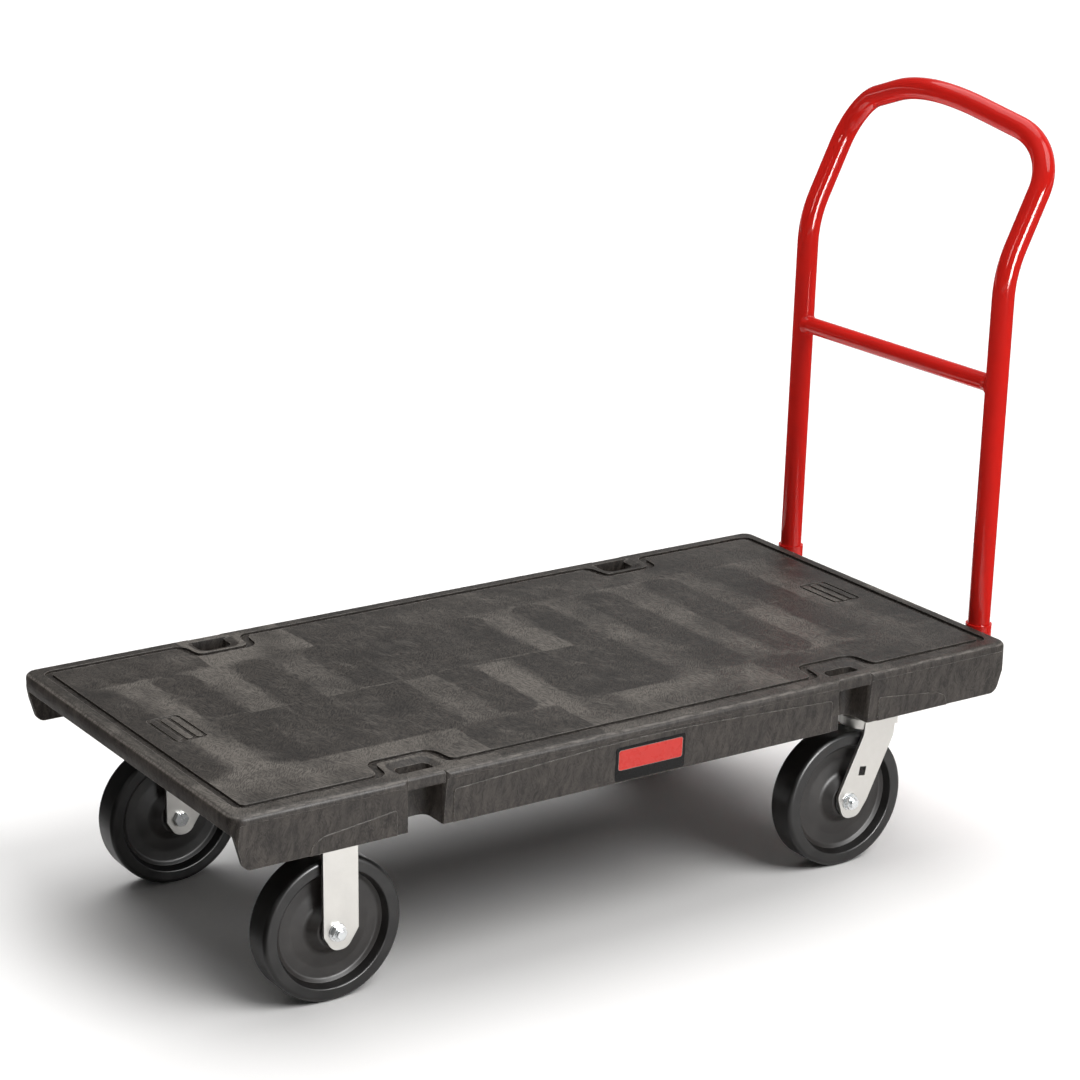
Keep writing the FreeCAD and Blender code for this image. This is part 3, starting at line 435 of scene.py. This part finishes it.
    def material(self, centre_x: float, top_z: float) -> bpy.types.Material:
        """Build the material.

        Args:
            centre_x: Middle of the deck along its length, in metres.
            top_z: Height of the load surface, in metres.

        Returns:
            The deck's material.
        """
        s = Shader("polyethylene_structural_foam")
        normal = s.add("ShaderNodeNewGeometry").outputs["Normal"]
        facing = s.add("ShaderNodeSeparateXYZ", {0: normal}).outputs[2]
        up = s.ramp(facing, 0.75, 0.97)
        # Rounded crests between upright and level faces, which take a painted highlight.
        painted_crest_highlight = s.maths("MULTIPLY", s.ramp(facing, 0.45, 0.65), s.ramp(facing, 0.96, 0.75))
        height = s.add("ShaderNodeSeparateXYZ", {0: s.place}).outputs[2]
        level = s.maths("MULTIPLY", up, s.ramp(height, top_z - 0.0012, top_z - 0.0004))
        soft, edge = s.eased(1.1)
        walls, tops = self.wall_fibres(s), self.top_fibres(s)
        cloud = s.noise(s.sized((60, 60, 60)), detail=3, roughness=0.55)
        wear = s.maths("MULTIPLY", self.top_wear(s, centre_x), level)
        side = s.blend(walls, linear(self.dark), linear(self.light))
        side = s.blend(s.ramp(cloud, 0.35, 0.7, 0.0, 0.3), side, linear(self.dark))
        top = s.blend(tops, linear(self.top_dark), linear(self.top_light))
        stain = s.noise(s.sized((110, 70, 70)), detail=4, roughness=0.6)
        top = s.blend(s.ramp(stain, 0.42, 0.68, 0.0, 0.55), top, linear(self.top_dark))
        top = s.blend(s.maths("MULTIPLY", wear, s.ramp(tops, 0.0, 1.0, 0.35, 1.0)), top, linear(self.rubbed))
        colour = s.blend(up, side, top)
        scratch = s.noise(s.sized((14, 3, 3)), detail=4, roughness=0.7)
        # Pale marks: scuffs on sharp edges with a painted highlight over them, and a painted highlight along
        # the rounded crests.
        rubbed = s.maths("MAXIMUM", edge, s.maths("MULTIPLY", painted_crest_highlight, self.crest_wear))
        scuff_and_highlight_share = s.maths("MULTIPLY", rubbed, s.ramp(scratch, 0.38, 0.62, 0.15, 0.8))
        colour = s.blend(scuff_and_highlight_share, colour, linear(self.scuff))
        grain = s.noise(s.sized((self.grain_mm,) * 3), detail=2)
        rough = s.total((wear, 0.10), (s.ramp(cloud, 0.3, 0.7, 0.40, 0.46), 1.0))
        relief = s.between(up, walls, tops)
        return s.finish(Base_Color=colour, Roughness=rough, IOR=1.5, Specular_IOR_Level=0.25,
                        Normal=s.bump(relief, 0.14, 0.5, s.bump(grain, 0.08, 0.4, soft)))


@dataclass(frozen=True)
class PowderCoat:
    """Gloss powder coat on steel tube: deep even red with the faintest orange peel."""

    hue: str = "#dc241d"
    shade: str = "#cb1f18"
    peel_mm: float = 3.5  # the usual spacing of orange peel

    def material(self) -> bpy.types.Material:
        """Build the material.

        Returns:
            The finish's material.
        """
        s = Shader("gloss_powder_coat_red")
        peel = s.noise(s.sized((self.peel_mm,) * 3), detail=1.5)
        drift = s.noise(s.sized((60, 60, 60)), detail=2)
        colour = s.blend(s.ramp(drift, 0.3, 0.7, 0.0, 0.4), linear(self.hue), linear(self.shade))
        return s.finish(Base_Color=colour, Roughness=s.ramp(drift, 0.3, 0.7, 0.07, 0.11),
                        Normal=s.bump(peel, 0.02, 0.25), IOR=1.5, Specular_IOR_Level=0.3)


@dataclass(frozen=True)
class ZincPlate:
    """Zinc-plated pressed steel: pale metal, softly satin, with faint rolling marks."""

    name: str = "zinc_plated_steel"
    hue: str = "#c6c4c0"
    dull: str = "#bebcb7"
    roughness: float = 0.36
    grain_mm: float = 0.8  # rolling marks are about 0.2 mm, drawn coarser so that they show

    def material(self) -> bpy.types.Material:
        """Build the material.

        Returns:
            The finish's material.
        """
        s = Shader(self.name)
        rolled = s.noise(s.sized((self.grain_mm, self.grain_mm, 40)), detail=2)
        cloud = s.noise(s.sized((25, 25, 25)), detail=4, roughness=0.6)
        soft, _ = s.eased(0.5)
        colour = s.blend(s.ramp(cloud, 0.35, 0.7, 0.0, 0.5), linear(self.hue), linear(self.dull))
        rough = s.ramp(cloud, 0.3, 0.7, self.roughness - 0.04, self.roughness + 0.05)
        return s.finish(Base_Color=colour, Metallic=1.0, Roughness=rough,
                        Normal=s.bump(rolled, 0.01, 0.2, soft))


@dataclass(frozen=True)
class Moulding:
    """Moulded rubber or plastic with a faint grain and slightly paler corners."""

    name: str
    hue: str
    worn: str
    roughness: float
    grain_mm: float = 1.0  # the mould's grain is about 0.2 mm, drawn coarser so that it shows
    gloss: float = 0.5

    def material(self) -> bpy.types.Material:
        """Build the material.

        Returns:
            The finish's material.
        """
        s = Shader(self.name)
        grain = s.noise(s.sized((self.grain_mm,) * 3), detail=2)
        cloud = s.noise(s.sized((30, 30, 30)), detail=4, roughness=0.6)
        soft, edge = s.eased(0.8)
        share = s.maths("MAXIMUM", s.ramp(cloud, 0.4, 0.75, 0.0, 0.5), s.maths("MULTIPLY", edge, 0.8))
        colour = s.blend(share, linear(self.hue), linear(self.worn))
        rough = s.ramp(cloud, 0.3, 0.7, self.roughness - 0.04, self.roughness + 0.05)
        return s.finish(Base_Color=colour, Roughness=rough, IOR=1.5, Specular_IOR_Level=self.gloss,
                        Normal=s.bump(grain, 0.04, 0.3, soft))


@dataclass(frozen=True)
class Vinyl:
    """Printed vinyl under a clear gloss film."""

    name: str
    hue: str
    faded: str

    def material(self) -> bpy.types.Material:
        """Build the material.

        Returns:
            The finish's material.
        """
        s = Shader(self.name)
        fade = s.noise(s.sized((18, 18, 18)), detail=3)
        film = s.noise(s.sized((9, 9, 9)), detail=2)
        colour = s.blend(s.ramp(fade, 0.3, 0.75, 0.0, 0.2), linear(self.hue), linear(self.faded))
        return s.finish(Base_Color=colour, Roughness=s.ramp(film, 0.3, 0.7, 0.26, 0.3), IOR=1.5,
                        Specular_IOR_Level=0.2, Normal=s.bump(film, 0.004, 0.08))


FINISH_OF_SLOT = {
    # Gloss powder coat on steel tube: deep even red, crisp gleams.
    "red_paint": PowderCoat(),
    # Zinc-plated pressed steel: pale, satin, softly mirrors the floor.
    "caster_zinc": ZincPlate(),
    # Bright zinc on turned fasteners: a little whiter and sharper than the forks.
    "fastener_zinc": ZincPlate("bright_zinc_fasteners", "#dfe1e2", "#bfc2c4", 0.26),
    # Moulded rubber: near black, satin, its corners rubbed pale.
    "tread_rubber": Moulding("moulded_black_rubber", "#110f0e", "#262220", 0.36),
    # Moulded polyolefin core: warm black, a shade duller than the tread.
    "wheel_plastic": Moulding("moulded_black_polyolefin", "#201b18", "#332e2a", 0.44),
    # Natural nylon bushing: creamy and satin, seen only at the hub.
    "bushing_plastic": Moulding("natural_nylon", "#cfc8b8", "#b7ae9c", 0.4),
    # Black polyethylene washers and plugs: plain dark grey, dull.
    "black_plastic": Moulding("black_polyethylene_plug", "#181716", "#2a2928", 0.5),
}


class Finishes:
    """The shop's finishes, each made once and kept by its slot."""

    def __init__(self) -> None:
        """Start with nothing made."""
        self.made: dict[str, bpy.types.Material] = {}
        self.slot_of = {row["node"]: row["material_slot"] for row in frame["record"]["subparts"]}

    def of(self, slot: str) -> bpy.types.Material:
        """Material of a slot, made when first asked for."""
        if slot not in self.made:
            self.made[slot] = FINISH_OF_SLOT[slot].material()
        return self.made[slot]

    def dress(self, node: str) -> None:
        """Give a node of the frame the finish of its own slot."""
        coat(node, self.of(self.slot_of[node]))


def coat(node: str, material: bpy.types.Material) -> None:
    """Put one material on a node of the frame.

    Args:
        node: Name of the node.
        material: The material.
    """
    mesh = frame["nodes"][node].data
    mesh.materials.clear()
    mesh.materials.append(material)
    LOG.info("dressed %s", node)


def place(name: str, mesh: bpy.types.Mesh, body: str, slot: str) -> bpy.types.Object:
    """Put a finished mesh into the scene as a piece.

    Args:
        name: Name of the piece.
        mesh: Its mesh, already where it belongs.
        body: Body that it moves with.
        slot: Slot of the record that its finish stands for; not used.

    Returns:
        The piece.
    """
    mesh.shade_smooth()
    piece = bpy.data.objects.new(name, mesh)
    bpy.context.scene.collection.objects.link(piece)
    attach(piece, body)
    LOG.info("built %s with %d faces", name, len(mesh.polygons))
    return piece


# ------------------------------------------------------------------ pieces grown by rule


class Growth:
    """A geometry node tree with named sizes, grown into plain meshes."""

    KINDS = {int: "NodeSocketInt", float: "NodeSocketFloat", tuple: "NodeSocketVector"}

    def __init__(self, name: str, sizes: dict[str, int | float | tuple]) -> None:
        """Start a tree.

        Args:
            name: Name of the tree.
            sizes: Input name to its usual value.
        """
        self.name = name
        self.tree = bpy.data.node_groups.new(name, "GeometryNodeTree")
        self.keys: dict[str, str] = {}
        self.usual = sizes
        for label, value in sizes.items():
            made = self.tree.interface.new_socket(label, in_out="INPUT", socket_type=self.KINDS[type(value)])
            self.keys[label] = made.identifier
        self.tree.interface.new_socket("Geometry", in_out="OUTPUT", socket_type="NodeSocketGeometry")
        self.entry = add(self.tree, "NodeGroupInput")

    def size(self, label: str) -> bpy.types.NodeSocket:
        """Socket that carries a named size."""
        return self.entry.outputs[label]

    def add(self, kind: str, inputs: dict | None = None, **settings: object) -> bpy.types.Node:
        """Add a node to this tree."""
        return add(self.tree, kind, inputs, **settings)

    def maths(self, operation: str, *values: object) -> bpy.types.NodeSocket:
        """One maths step on values or sockets, giving its result."""
        return self.add("ShaderNodeMath", dict(enumerate(values)), operation=operation).outputs[0]

    def close(self, grown: bpy.types.NodeSocket, material: bpy.types.Material) -> None:
        """Realize, place, paint and hand out the geometry.

        Args:
            grown: The tree's geometry.
            material: Its finish.
        """
        real = self.add("GeometryNodeRealizeInstances", {0: grown}).outputs[0]
        moved = self.add("GeometryNodeTransform", {
            "Geometry": real, "Translation": self.size("Centre"), "Rotation": self.size("Turn"),
        }).outputs[0]
        painted = self.add("GeometryNodeSetMaterial", {"Geometry": moved, "Material": material}).outputs[0]
        self.add("NodeGroupOutput", {0: painted})

    def grow(self, **changes: int | float | tuple) -> bpy.types.Mesh:
        """Grow one mesh.

        Args:
            **changes: Sizes that differ from the usual ones.

        Returns:
            A plain mesh.
        """
        host = bpy.data.objects.new(self.name, bpy.data.meshes.new(self.name))
        bpy.context.scene.collection.objects.link(host)
        modifier = host.modifiers.new("grown", "NODES")
        modifier.node_group = self.tree
        for label, value in (self.usual | changes).items():
            modifier[self.keys[label]] = value
        ready = bpy.context.evaluated_depsgraph_get()
        mesh = bpy.data.meshes.new_from_object(host.evaluated_get(ready), depsgraph=ready)
        host.modifiers.clear()
        bpy.data.objects.remove(host)
        return mesh


# ------------------------------------------------------------------ deck


@dataclass
class SkirtLabel:
    """Plain two-colour label stuck on the near skirt, with nothing printed on it."""

    width: float = 112.0
    height: float = 49.0
    corner: float = 4.5
    thickness: float = 0.42
    edge: float = 0.5
    lift: float = 1.5
    field_margin: float = 5.0
    field_foot: float = 16.0
    field_corner: float = 3.0
    keyline: float = 0.6
    corner_steps: int = 6

    def outline(self, width: float, height: float, corner: float) -> list[tuple[float, float]]:
        """Draw a rounded rectangle centred at the origin, all in millimetres.

        Args:
            width: Its width.
            height: Its height.
            corner: Its corner radius.

        Returns:
            Points round it.
        """
        points = []
        for quarter, (sx, sz) in enumerate(((1, 1), (-1, 1), (-1, -1), (1, -1))):
            for step in range(self.corner_steps + 1):
                angle = math.radians(90 * (quarter + step / self.corner_steps))
                points.append((sx * (width / 2 - corner) + corner * math.cos(angle),
                               sz * (height / 2 - corner) + corner * math.sin(angle)))
        return points

    def skin(self, x: float, z: float) -> float:
        """How far out the skirt's face is at a point, in metres."""
        hit, point, _, _ = frame["nodes"]["deck_body"].ray_cast(Vector((x, -1.0, z)), Vector((0, 1, 0)))
        return point.y if hit else -0.31

    def slab(self, centre: tuple[float, float], size: tuple[float, float], corner: float,
             base: float, rise: float) -> bpy.types.Mesh:
        """A thin rounded plate lying on the skirt, its face edge rounded over.

        Args:
            centre: Middle along the deck and in height, in metres.
            size: Width and height in millimetres.
            corner: Corner radius in millimetres.
            base: Height of its back above the skirt in millimetres.
            rise: Height of its face above the skirt in millimetres.

        Returns:
            The plate's mesh.
        """
        form = bmesh.new()
        steps = ((0.0, base), (0.0, rise - (rise - base) * 0.4), (self.edge / 2, rise - (rise - base) * 0.1),
                 (self.edge, rise))
        rings = []
        for inset, out in steps:
            ring = []
            shape = self.outline(size[0] - 2 * inset, size[1] - 2 * inset, corner - inset)
            for px, pz in shape:
                x, z = centre[0] + px * MM, centre[1] + pz * MM
                ring.append(form.verts.new((x, self.skin(x, z) - out * MM, z)))
            rings.append(ring)
        for low, high in zip(rings, rings[1:]):
            for index in range(len(low)):
                after = (index + 1) % len(low)
                form.faces.new((low[index], low[after], high[after], high[index]))
        form.faces.new(rings[0])
        form.faces.new(rings[-1])
        bmesh.ops.recalc_face_normals(form, faces=form.faces)
        mesh = bpy.data.meshes.new("slab")
        form.to_mesh(mesh)
        form.free()
        return mesh

    def build(self) -> None:
        """Make the dark plate, the pale keyline and the red field."""
        low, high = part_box("deck_body")
        x = (low.x + high.x) / 2
        z = low.z + (self.lift + self.height / 2) * MM
        field = (self.width - 2 * self.field_margin, self.height - self.field_margin - self.field_foot)
        field_z = z + (self.height / 2 - self.field_margin - field[1] / 2) * MM
        line = (field[0] + 2 * self.keyline, field[1] + 2 * self.keyline)
        face = self.thickness
        layers = (
            ("label_plate", (self.width, self.height), self.corner, z, 0.0, face,
             Vinyl("black_label_vinyl", "#080707", "#0e0d0c")),
            ("label_keyline", line, self.field_corner + self.keyline, field_z, face - 0.02, face + 0.02,
             Vinyl("pale_label_ink", "#8f8882", "#7d7772")),
            ("label_field", field, self.field_corner, field_z, face, face + 0.04,
             Vinyl("red_label_ink", "#d8403a", "#cf3a34")),
        )
        for name, size, corner, height, base, rise, finish in layers:
            mesh = self.slab((x, height), size, corner, base, rise)
            mesh.materials.append(finish.material())
            place(name, mesh, "chassis", "black_plastic")


@dataclass
class Deck:
    """The one-piece moulded deck and what is fixed to it."""

    finish: StructuralFoam = StructuralFoam()
    label: SkirtLabel = field(default_factory=SkirtLabel)

    def build(self, finishes: Finishes) -> None:
        """Dress the deck and stick the label on.

        Args:
            finishes: The shop's finishes.
        """
        low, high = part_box("deck_body")
        coat("deck_body", self.finish.material((low.x + high.x) / 2, high.z))
        for side in Side:
            finishes.dress(f"handle_socket_{side.word}")
        finishes.dress("socket_bolts")
        self.label.build()


# ------------------------------------------------------------------ handle


@dataclass
class Handle:
    """The bent tube, its crossbar and the welds between them."""

    tube_radius: float = 16.0
    bar_radius: float = 12.7
    lean_degrees: float = 1.42
    toe: float = 0.5
    bead: float = 2.3
    bead_thickness: float = 1.5
    ripple_pitch: float = 1.9

    def weld_tree(self, material: bpy.types.Material) -> Growth:
        """Tree that lays overlapping drops along the line where the bar meets a leg.

        Args:
            material: Finish of the weld.

        Returns:
            The tree, ready to grow.
        """
        grown = Growth("weld_ripples", {
            "Centre": (0.0, 0.0, 0.0), "Turn": (0.0, 0.0, 0.0),
            "Bar Radius": (self.bar_radius + self.toe) * MM, "Leg Radius": self.tube_radius * MM,
            "Lean": math.radians(self.lean_degrees), "Bead": self.bead * MM,
            "Bead Thickness": self.bead_thickness * MM, "Pitch": self.ripple_pitch * MM,
        })
        ring = grown.add("GeometryNodeCurvePrimitiveCircle", {
            "Resolution": 96, "Radius": grown.size("Bar Radius"),
        })
        at = grown.add("ShaderNodeSeparateXYZ", {0: grown.add("GeometryNodeInputPosition").outputs[0]})
        # Distance from the leg's leaning middle line, then the leg's surface over that point.
        lean, leg = grown.size("Lean"), grown.size("Leg Radius")
        leaned = grown.maths("SUBTRACT", grown.maths("MULTIPLY", at.outputs[0], grown.maths("COSINE", lean)),
                             grown.maths("MULTIPLY", at.outputs[1], grown.maths("SINE", lean)))
        squares = grown.maths("SUBTRACT", grown.maths("MULTIPLY", leg, leg),
                              grown.maths("MULTIPLY", leaned, leaned))
        saddle = grown.add("ShaderNodeCombineXYZ", {
            0: at.outputs[0], 1: at.outputs[1], 2: grown.maths("SQRT", squares),
        })
        curve = grown.add("GeometryNodeSetPosition", {
            "Geometry": ring.outputs[0], "Position": saddle.outputs[0],
        })
        points = grown.add("GeometryNodeCurveToPoints", {
            "Curve": curve.outputs[0], "Length": grown.size("Pitch"),
        }, mode="LENGTH")
        ball = grown.add("GeometryNodeMeshUVSphere", {"Segments": 10, "Rings": 6, "Radius": 1.0})
        shape = grown.add("ShaderNodeCombineXYZ", {
            0: grown.size("Bead"), 1: grown.size("Bead"), 2: grown.size("Bead Thickness"),
        })
        laid = grown.add("GeometryNodeInstanceOnPoints", {
            "Points": points.outputs["Points"], "Instance": ball.outputs[0],
            "Rotation": points.outputs["Rotation"], "Scale": shape.outputs[0],
        })
        grown.close(laid.outputs[0], material)
        return grown

    def build(self, finishes: Finishes) -> None:
        """Dress the handle and lay its welds.

        Args:
            finishes: The shop's finishes.
        """
        for node in ("handle_tube", "handle_crossbar", "leg_plugs"):
            finishes.dress(node)
        low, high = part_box("handle_crossbar")
        leg_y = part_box("handle_tube")[1].y - self.tube_radius * MM
        tree = self.weld_tree(finishes.of("red_paint"))
        for side in Side:
            centre = ((low.x + high.x) / 2, side.value * leg_y, (low.z + high.z) / 2)
            mesh = tree.grow(Centre=centre, Turn=(side.value * math.pi / 2, 0.0, 0.0))
            place(f"crossbar_weld_{side.word}", mesh, "handle", "red_paint")


# ------------------------------------------------------------------ casters


@dataclass
class Caster:
    """One caster: its fork, axle and, on a swivel caster, the ball race."""

    kind: CasterKind
    side: Side
    ball_radius: float = 4.4
    race_radius: float = 19.0
    ball_count: int = 13
    thread_radius: float = 6.0
    thread_pitch: float = 1.25
    ridge: float = 0.35

    @property
    def body(self) -> str:
        """Body that the fork belongs to."""
        return "chassis" if self.kind is CasterKind.RIGID else f"swivel_{self.side.word}"

    def nodes(self) -> list[str]:
        """Nodes of the frame that make up this caster without its wheel.

        Returns:
            Their names.
        """
        ends = f"{self.kind.value}_{self.side.word}"
        names = [f"{part}_{ends}" for part in ("axle_bolt", "axle_nut", "axle_sleeve", "thrust_washers")]
        if self.kind is CasterKind.RIGID:
            return names + [f"rigid_fork_{self.side.word}"]
        return names + [f"{part}_{self.side.word}" for part in ("swivel_plate", "swivel_yoke", "kingpin")]

    def ball_race(self, material: bpy.types.Material) -> None:
        """Set the balls round the pin in place of the closed ring.

        Args:
            material: Finish of the balls.
        """
        ring = f"race_ring_{self.side.word}"
        low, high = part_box(ring)
        grown = Growth("race_balls", {
            "Centre": tuple((low + high) / 2), "Turn": (0.0, 0.0, 0.0), "Balls": self.ball_count,
            "Race Radius": self.race_radius * MM, "Ball Radius": self.ball_radius * MM,
        })
        circle = grown.add("GeometryNodeMeshCircle", {
            "Vertices": grown.size("Balls"), "Radius": grown.size("Race Radius"),
        })
        ball = grown.add("GeometryNodeMeshUVSphere", {
            "Segments": 12, "Rings": 8, "Radius": grown.size("Ball Radius"),
        })
        balls = grown.add("GeometryNodeInstanceOnPoints", {
            "Points": circle.outputs[0], "Instance": ball.outputs[0],
        })
        grown.close(balls.outputs[0], material)
        piece = place(f"race_balls_{self.side.word}", grown.grow(), "chassis", "fastener_zinc")
        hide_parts(ring)

    def thread(self, material: bpy.types.Material) -> None:
        """Wind the thread's ridge round the bolt's end, outside the nut.

        Args:
            material: Finish of the thread.
        """
        ends = f"{self.kind.value}_{self.side.word}"
        bolt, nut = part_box(f"axle_bolt_{ends}"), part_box(f"axle_nut_{ends}")
        out = self.side.value
        face = nut[1].y if out > 0 else nut[0].y
        tip = bolt[1].y if out > 0 else bolt[0].y
        tail = abs(tip - face) - 2 * self.ridge * MM
        grown = Growth("thread_ridge", {
            "Centre": ((nut[0].x + nut[1].x) / 2, face + out * self.ridge * MM, (nut[0].z + nut[1].z) / 2),
            "Turn": (-out * math.pi / 2, 0.0, 0.0), "Turns": tail / (self.thread_pitch * MM),
            "Thread Radius": self.thread_radius * MM, "Tail": tail, "Ridge": self.ridge * MM,
        })
        spiral = grown.add("GeometryNodeCurveSpiral", {
            "Resolution": 40, "Rotations": grown.size("Turns"), "Height": grown.size("Tail"),
            "Start Radius": grown.size("Thread Radius"), "End Radius": grown.size("Thread Radius"),
        })
        profile = grown.add("GeometryNodeCurvePrimitiveCircle", {
            "Resolution": 4, "Radius": grown.size("Ridge"),
        })
        ridge = grown.add("GeometryNodeCurveToMesh", {
            "Curve": spiral.outputs[0], "Profile Curve": profile.outputs[0], "Fill Caps": True,
        })
        grown.close(ridge.outputs[0], material)
        place(f"axle_thread_{ends}", grown.grow(), self.body, "fastener_zinc")

    def build(self, finishes: Finishes) -> None:
        """Dress the caster and add its balls and thread.

        Args:
            finishes: The shop's finishes.
        """
        for node in self.nodes():
            finishes.dress(node)
        steel = finishes.of("fastener_zinc")
        self.thread(steel)
        if self.kind is CasterKind.SWIVEL:
            self.ball_race(steel)


@dataclass
class Wheel:
    """One wheel: rubber tread on a plastic core with a nylon bearing."""

    kind: CasterKind
    side: Side

    def build(self, finishes: Finishes) -> None:
        """Dress the wheel."""
        for part in ("tyre", "wheel_core", "wheel_bearing"):
            finishes.dress(f"{part}_{self.kind.value}_{self.side.word}")


# ------------------------------------------------------------------ studio


@dataclass
class Studio:
    """Pale floor, soft light and the camera."""

    distance: float = 4.80667
    azimuth: float = -33.308
    elevation: float = 17.4366
    roll: float = 0.6063
    target: tuple[float, float, float] = (0.25942, 0.45049, 0.310)
    lens: float = 102.21
    floor_radius: float = 60.0
    pool_radius: float = 1.45

    def floor(self) -> None:
        """Lay the floor as one big disc."""
        mesh = bpy.data.meshes.new("floor")
        form = bmesh.new()
        bmesh.ops.create_circle(form, cap_ends=True, segments=96, radius=self.floor_radius)
        form.to_mesh(mesh)
        form.free()
        floor = bpy.data.objects.new("floor", mesh)
        bpy.context.scene.collection.objects.link(floor)
        s = Shader("pale_studio_floor")
        mesh.materials.append(s.finish(Base_Color=linear("#fcfbfa"), Roughness=0.95, Specular_IOR_Level=0.0))

    def card(self, name: str, rows: list[list[tuple[float, float, float]]],
             cloth: bpy.types.Material) -> None:
        """Set up a dark card that shows only in gloss.

        Args:
            name: Name of the card.
            rows: Rows of corners, each row joined to the next.
            cloth: Its material.
        """
        form = bmesh.new()
        lines = [[form.verts.new(corner) for corner in row] for row in rows]
        for first, second in zip(lines, lines[1:]):
            for index in range(len(first) - 1):
                form.faces.new((first[index], first[index + 1], second[index + 1], second[index]))
        mesh = bpy.data.meshes.new(name)
        form.to_mesh(mesh)
        form.free()
        mesh.materials.append(cloth)
        card = bpy.data.objects.new(name, mesh)
        bpy.context.scene.collection.objects.link(card)
        card.visible_camera = card.visible_diffuse = card.visible_shadow = False

    def flags(self) -> None:
        """Dark cards that keep the left end and the edges of the tubes deep in tone."""
        s = Shader("black_flag_cloth")
        cloth = s.finish(Base_Color=linear("#3a3a3a"), Roughness=1.0, Specular_IOR_Level=0.0)
        end = [[(x, y, z) for y in (-0.9, 1.8)] for x, z in ((-0.72, 0.002), (-0.95, 0.002), (-0.95, 1.0))]
        self.card("end_flag", end, cloth)
        turns = [math.radians(7.5 * step) for step in range(49)]
        ring = [[(radius * math.cos(turn), radius * math.sin(turn), 0.001) for turn in turns]
                for radius in (self.pool_radius, 12.0)]
        self.card("floor_flag", ring, cloth)

    def lamp(self, name: str, kind: str, place: tuple, aim: tuple, gloss_only: bool = False,
             **settings: float) -> None:
        """Add one soft light.

        Args:
            name: Name of the light.
            kind: SUN or AREA.
            place: Position in metres; for a sun only its direction matters.
            aim: Point that it faces.
            gloss_only: Whether it shows as a gleam but lights nothing.
            **settings: Properties of the light.
        """
        data = bpy.data.lights.new(name, kind)
        for key, value in settings.items():
            setattr(data, key, value)
        light = bpy.data.objects.new(name, data)
        light.location = place
        light.rotation_mode = "QUATERNION"
        light.rotation_quaternion = (Vector(aim) - Vector(place)).to_track_quat("-Z", "Y")
        light.visible_camera = False
        light.visible_diffuse = not gloss_only
        bpy.context.scene.collection.objects.link(light)

    def sky(self) -> None:
        """Soft surroundings, brightest behind on the right, and plain white where they are seen."""
        world = bpy.data.worlds.new("studio")
        bpy.context.scene.world = world
        world.use_nodes = True
        tree = world.node_tree
        tree.nodes.clear()
        way = add(tree, "ShaderNodeTexCoord").outputs["Generated"]
        facing = add(tree, "ShaderNodeVectorMath", {0: way, 1: (0.88, 0.41, 0.24)}, operation="DOT_PRODUCT")
        share = add(tree, "ShaderNodeMapRange", {
            0: facing.outputs["Value"], 1: 0.72, 2: 0.98, 3: 0.04, 4: 0.5,
        }, interpolation_type="SMOOTHSTEP")
        above = add(tree, "ShaderNodeSeparateXYZ", {0: way}).outputs[2]
        top = add(tree, "ShaderNodeMapRange", {0: above, 1: 0.45, 2: 0.95, 3: 0.0, 4: 0.35},
                  interpolation_type="SMOOTHSTEP")
        total = add(tree, "ShaderNodeMath", {0: share.outputs[0], 1: top.outputs[0]}, operation="ADD")
        seen = add(tree, "ShaderNodeLightPath").outputs["Is Camera Ray"]
        plain = add(tree, "ShaderNodeMath", {0: seen, 1: total.outputs[0]}, operation="MAXIMUM")
        back = add(tree, "ShaderNodeBackground", {"Color": (1, 1, 1, 1), "Strength": plain.outputs[0]})
        add(tree, "ShaderNodeOutputWorld", {"Surface": back.outputs[0]})

    def camera(self) -> None:
        """Set the camera at its viewing angle."""
        azimuth, elevation, roll = (math.radians(v) for v in (self.azimuth, self.elevation, self.roll))
        back = Vector((math.sin(azimuth) * math.cos(elevation),
                       -math.cos(azimuth) * math.cos(elevation), math.sin(elevation)))
        right = Vector((0, 0, 1)).cross(back).normalized()
        up = back.cross(right)
        turned_right = right * math.cos(roll) + up * math.sin(roll)
        turned_up = up * math.cos(roll) - right * math.sin(roll)
        data = bpy.data.cameras.new("camera")
        data.lens = self.lens
        data.sensor_width = 36.0
        camera = bpy.data.objects.new("camera", data)
        turn = Matrix((turned_right, turned_up, back)).transposed()
        camera.matrix_world = Matrix.Translation(Vector(self.target) + back * self.distance) @ turn.to_4x4()
        bpy.context.scene.collection.objects.link(camera)
        bpy.context.scene.camera = camera

    def build(self) -> None:
        """Make the whole studio."""
        self.floor()
        self.flags()
        self.sky()
        middle = (0.0, 0.0, 0.3)
        # Soft suns: the key from the front right, the other from above and behind.
        self.lamp("key", "SUN", (1.1, -2.4, 3.4), middle, energy=1.85, angle=math.radians(40))
        self.lamp("overhead", "SUN", (0.6, 1.2, 4.4), middle, energy=1.9, angle=math.radians(60))
        # Boxes that only gleam: the long white lines on the leaning parts of the handle.
        self.lamp("front_box", "AREA", (0.55, -3.3, 1.05), (0.55, 0.0, 0.8), gloss_only=True,
                  energy=190.0, shape="RECTANGLE", size=1.1, size_y=1.1)
        self.lamp("side_strip", "AREA", (-2.26, -1.6, 2.2), (0.6, -0.1, 0.85), gloss_only=True,
                  energy=18.0, shape="RECTANGLE", size=0.45, size_y=1.0)
        self.camera()
        bpy.context.scene.view_settings.view_transform = "Standard"


# ------------------------------------------------------------------ main


def main() -> None:
    """Build every piece in order."""
    logging.basicConfig(level=logging.INFO)
    finishes = Finishes()
    Deck().build(finishes)
    Handle().build(finishes)
    for kind in CasterKind:
        finishes.dress(f"{kind.value}_caster_bolts")
        for side in Side:
            Caster(kind, side).build(finishes)
            Wheel(kind, side).build(finishes)
    Studio().build()


if __name__ == "__main__":
    main()
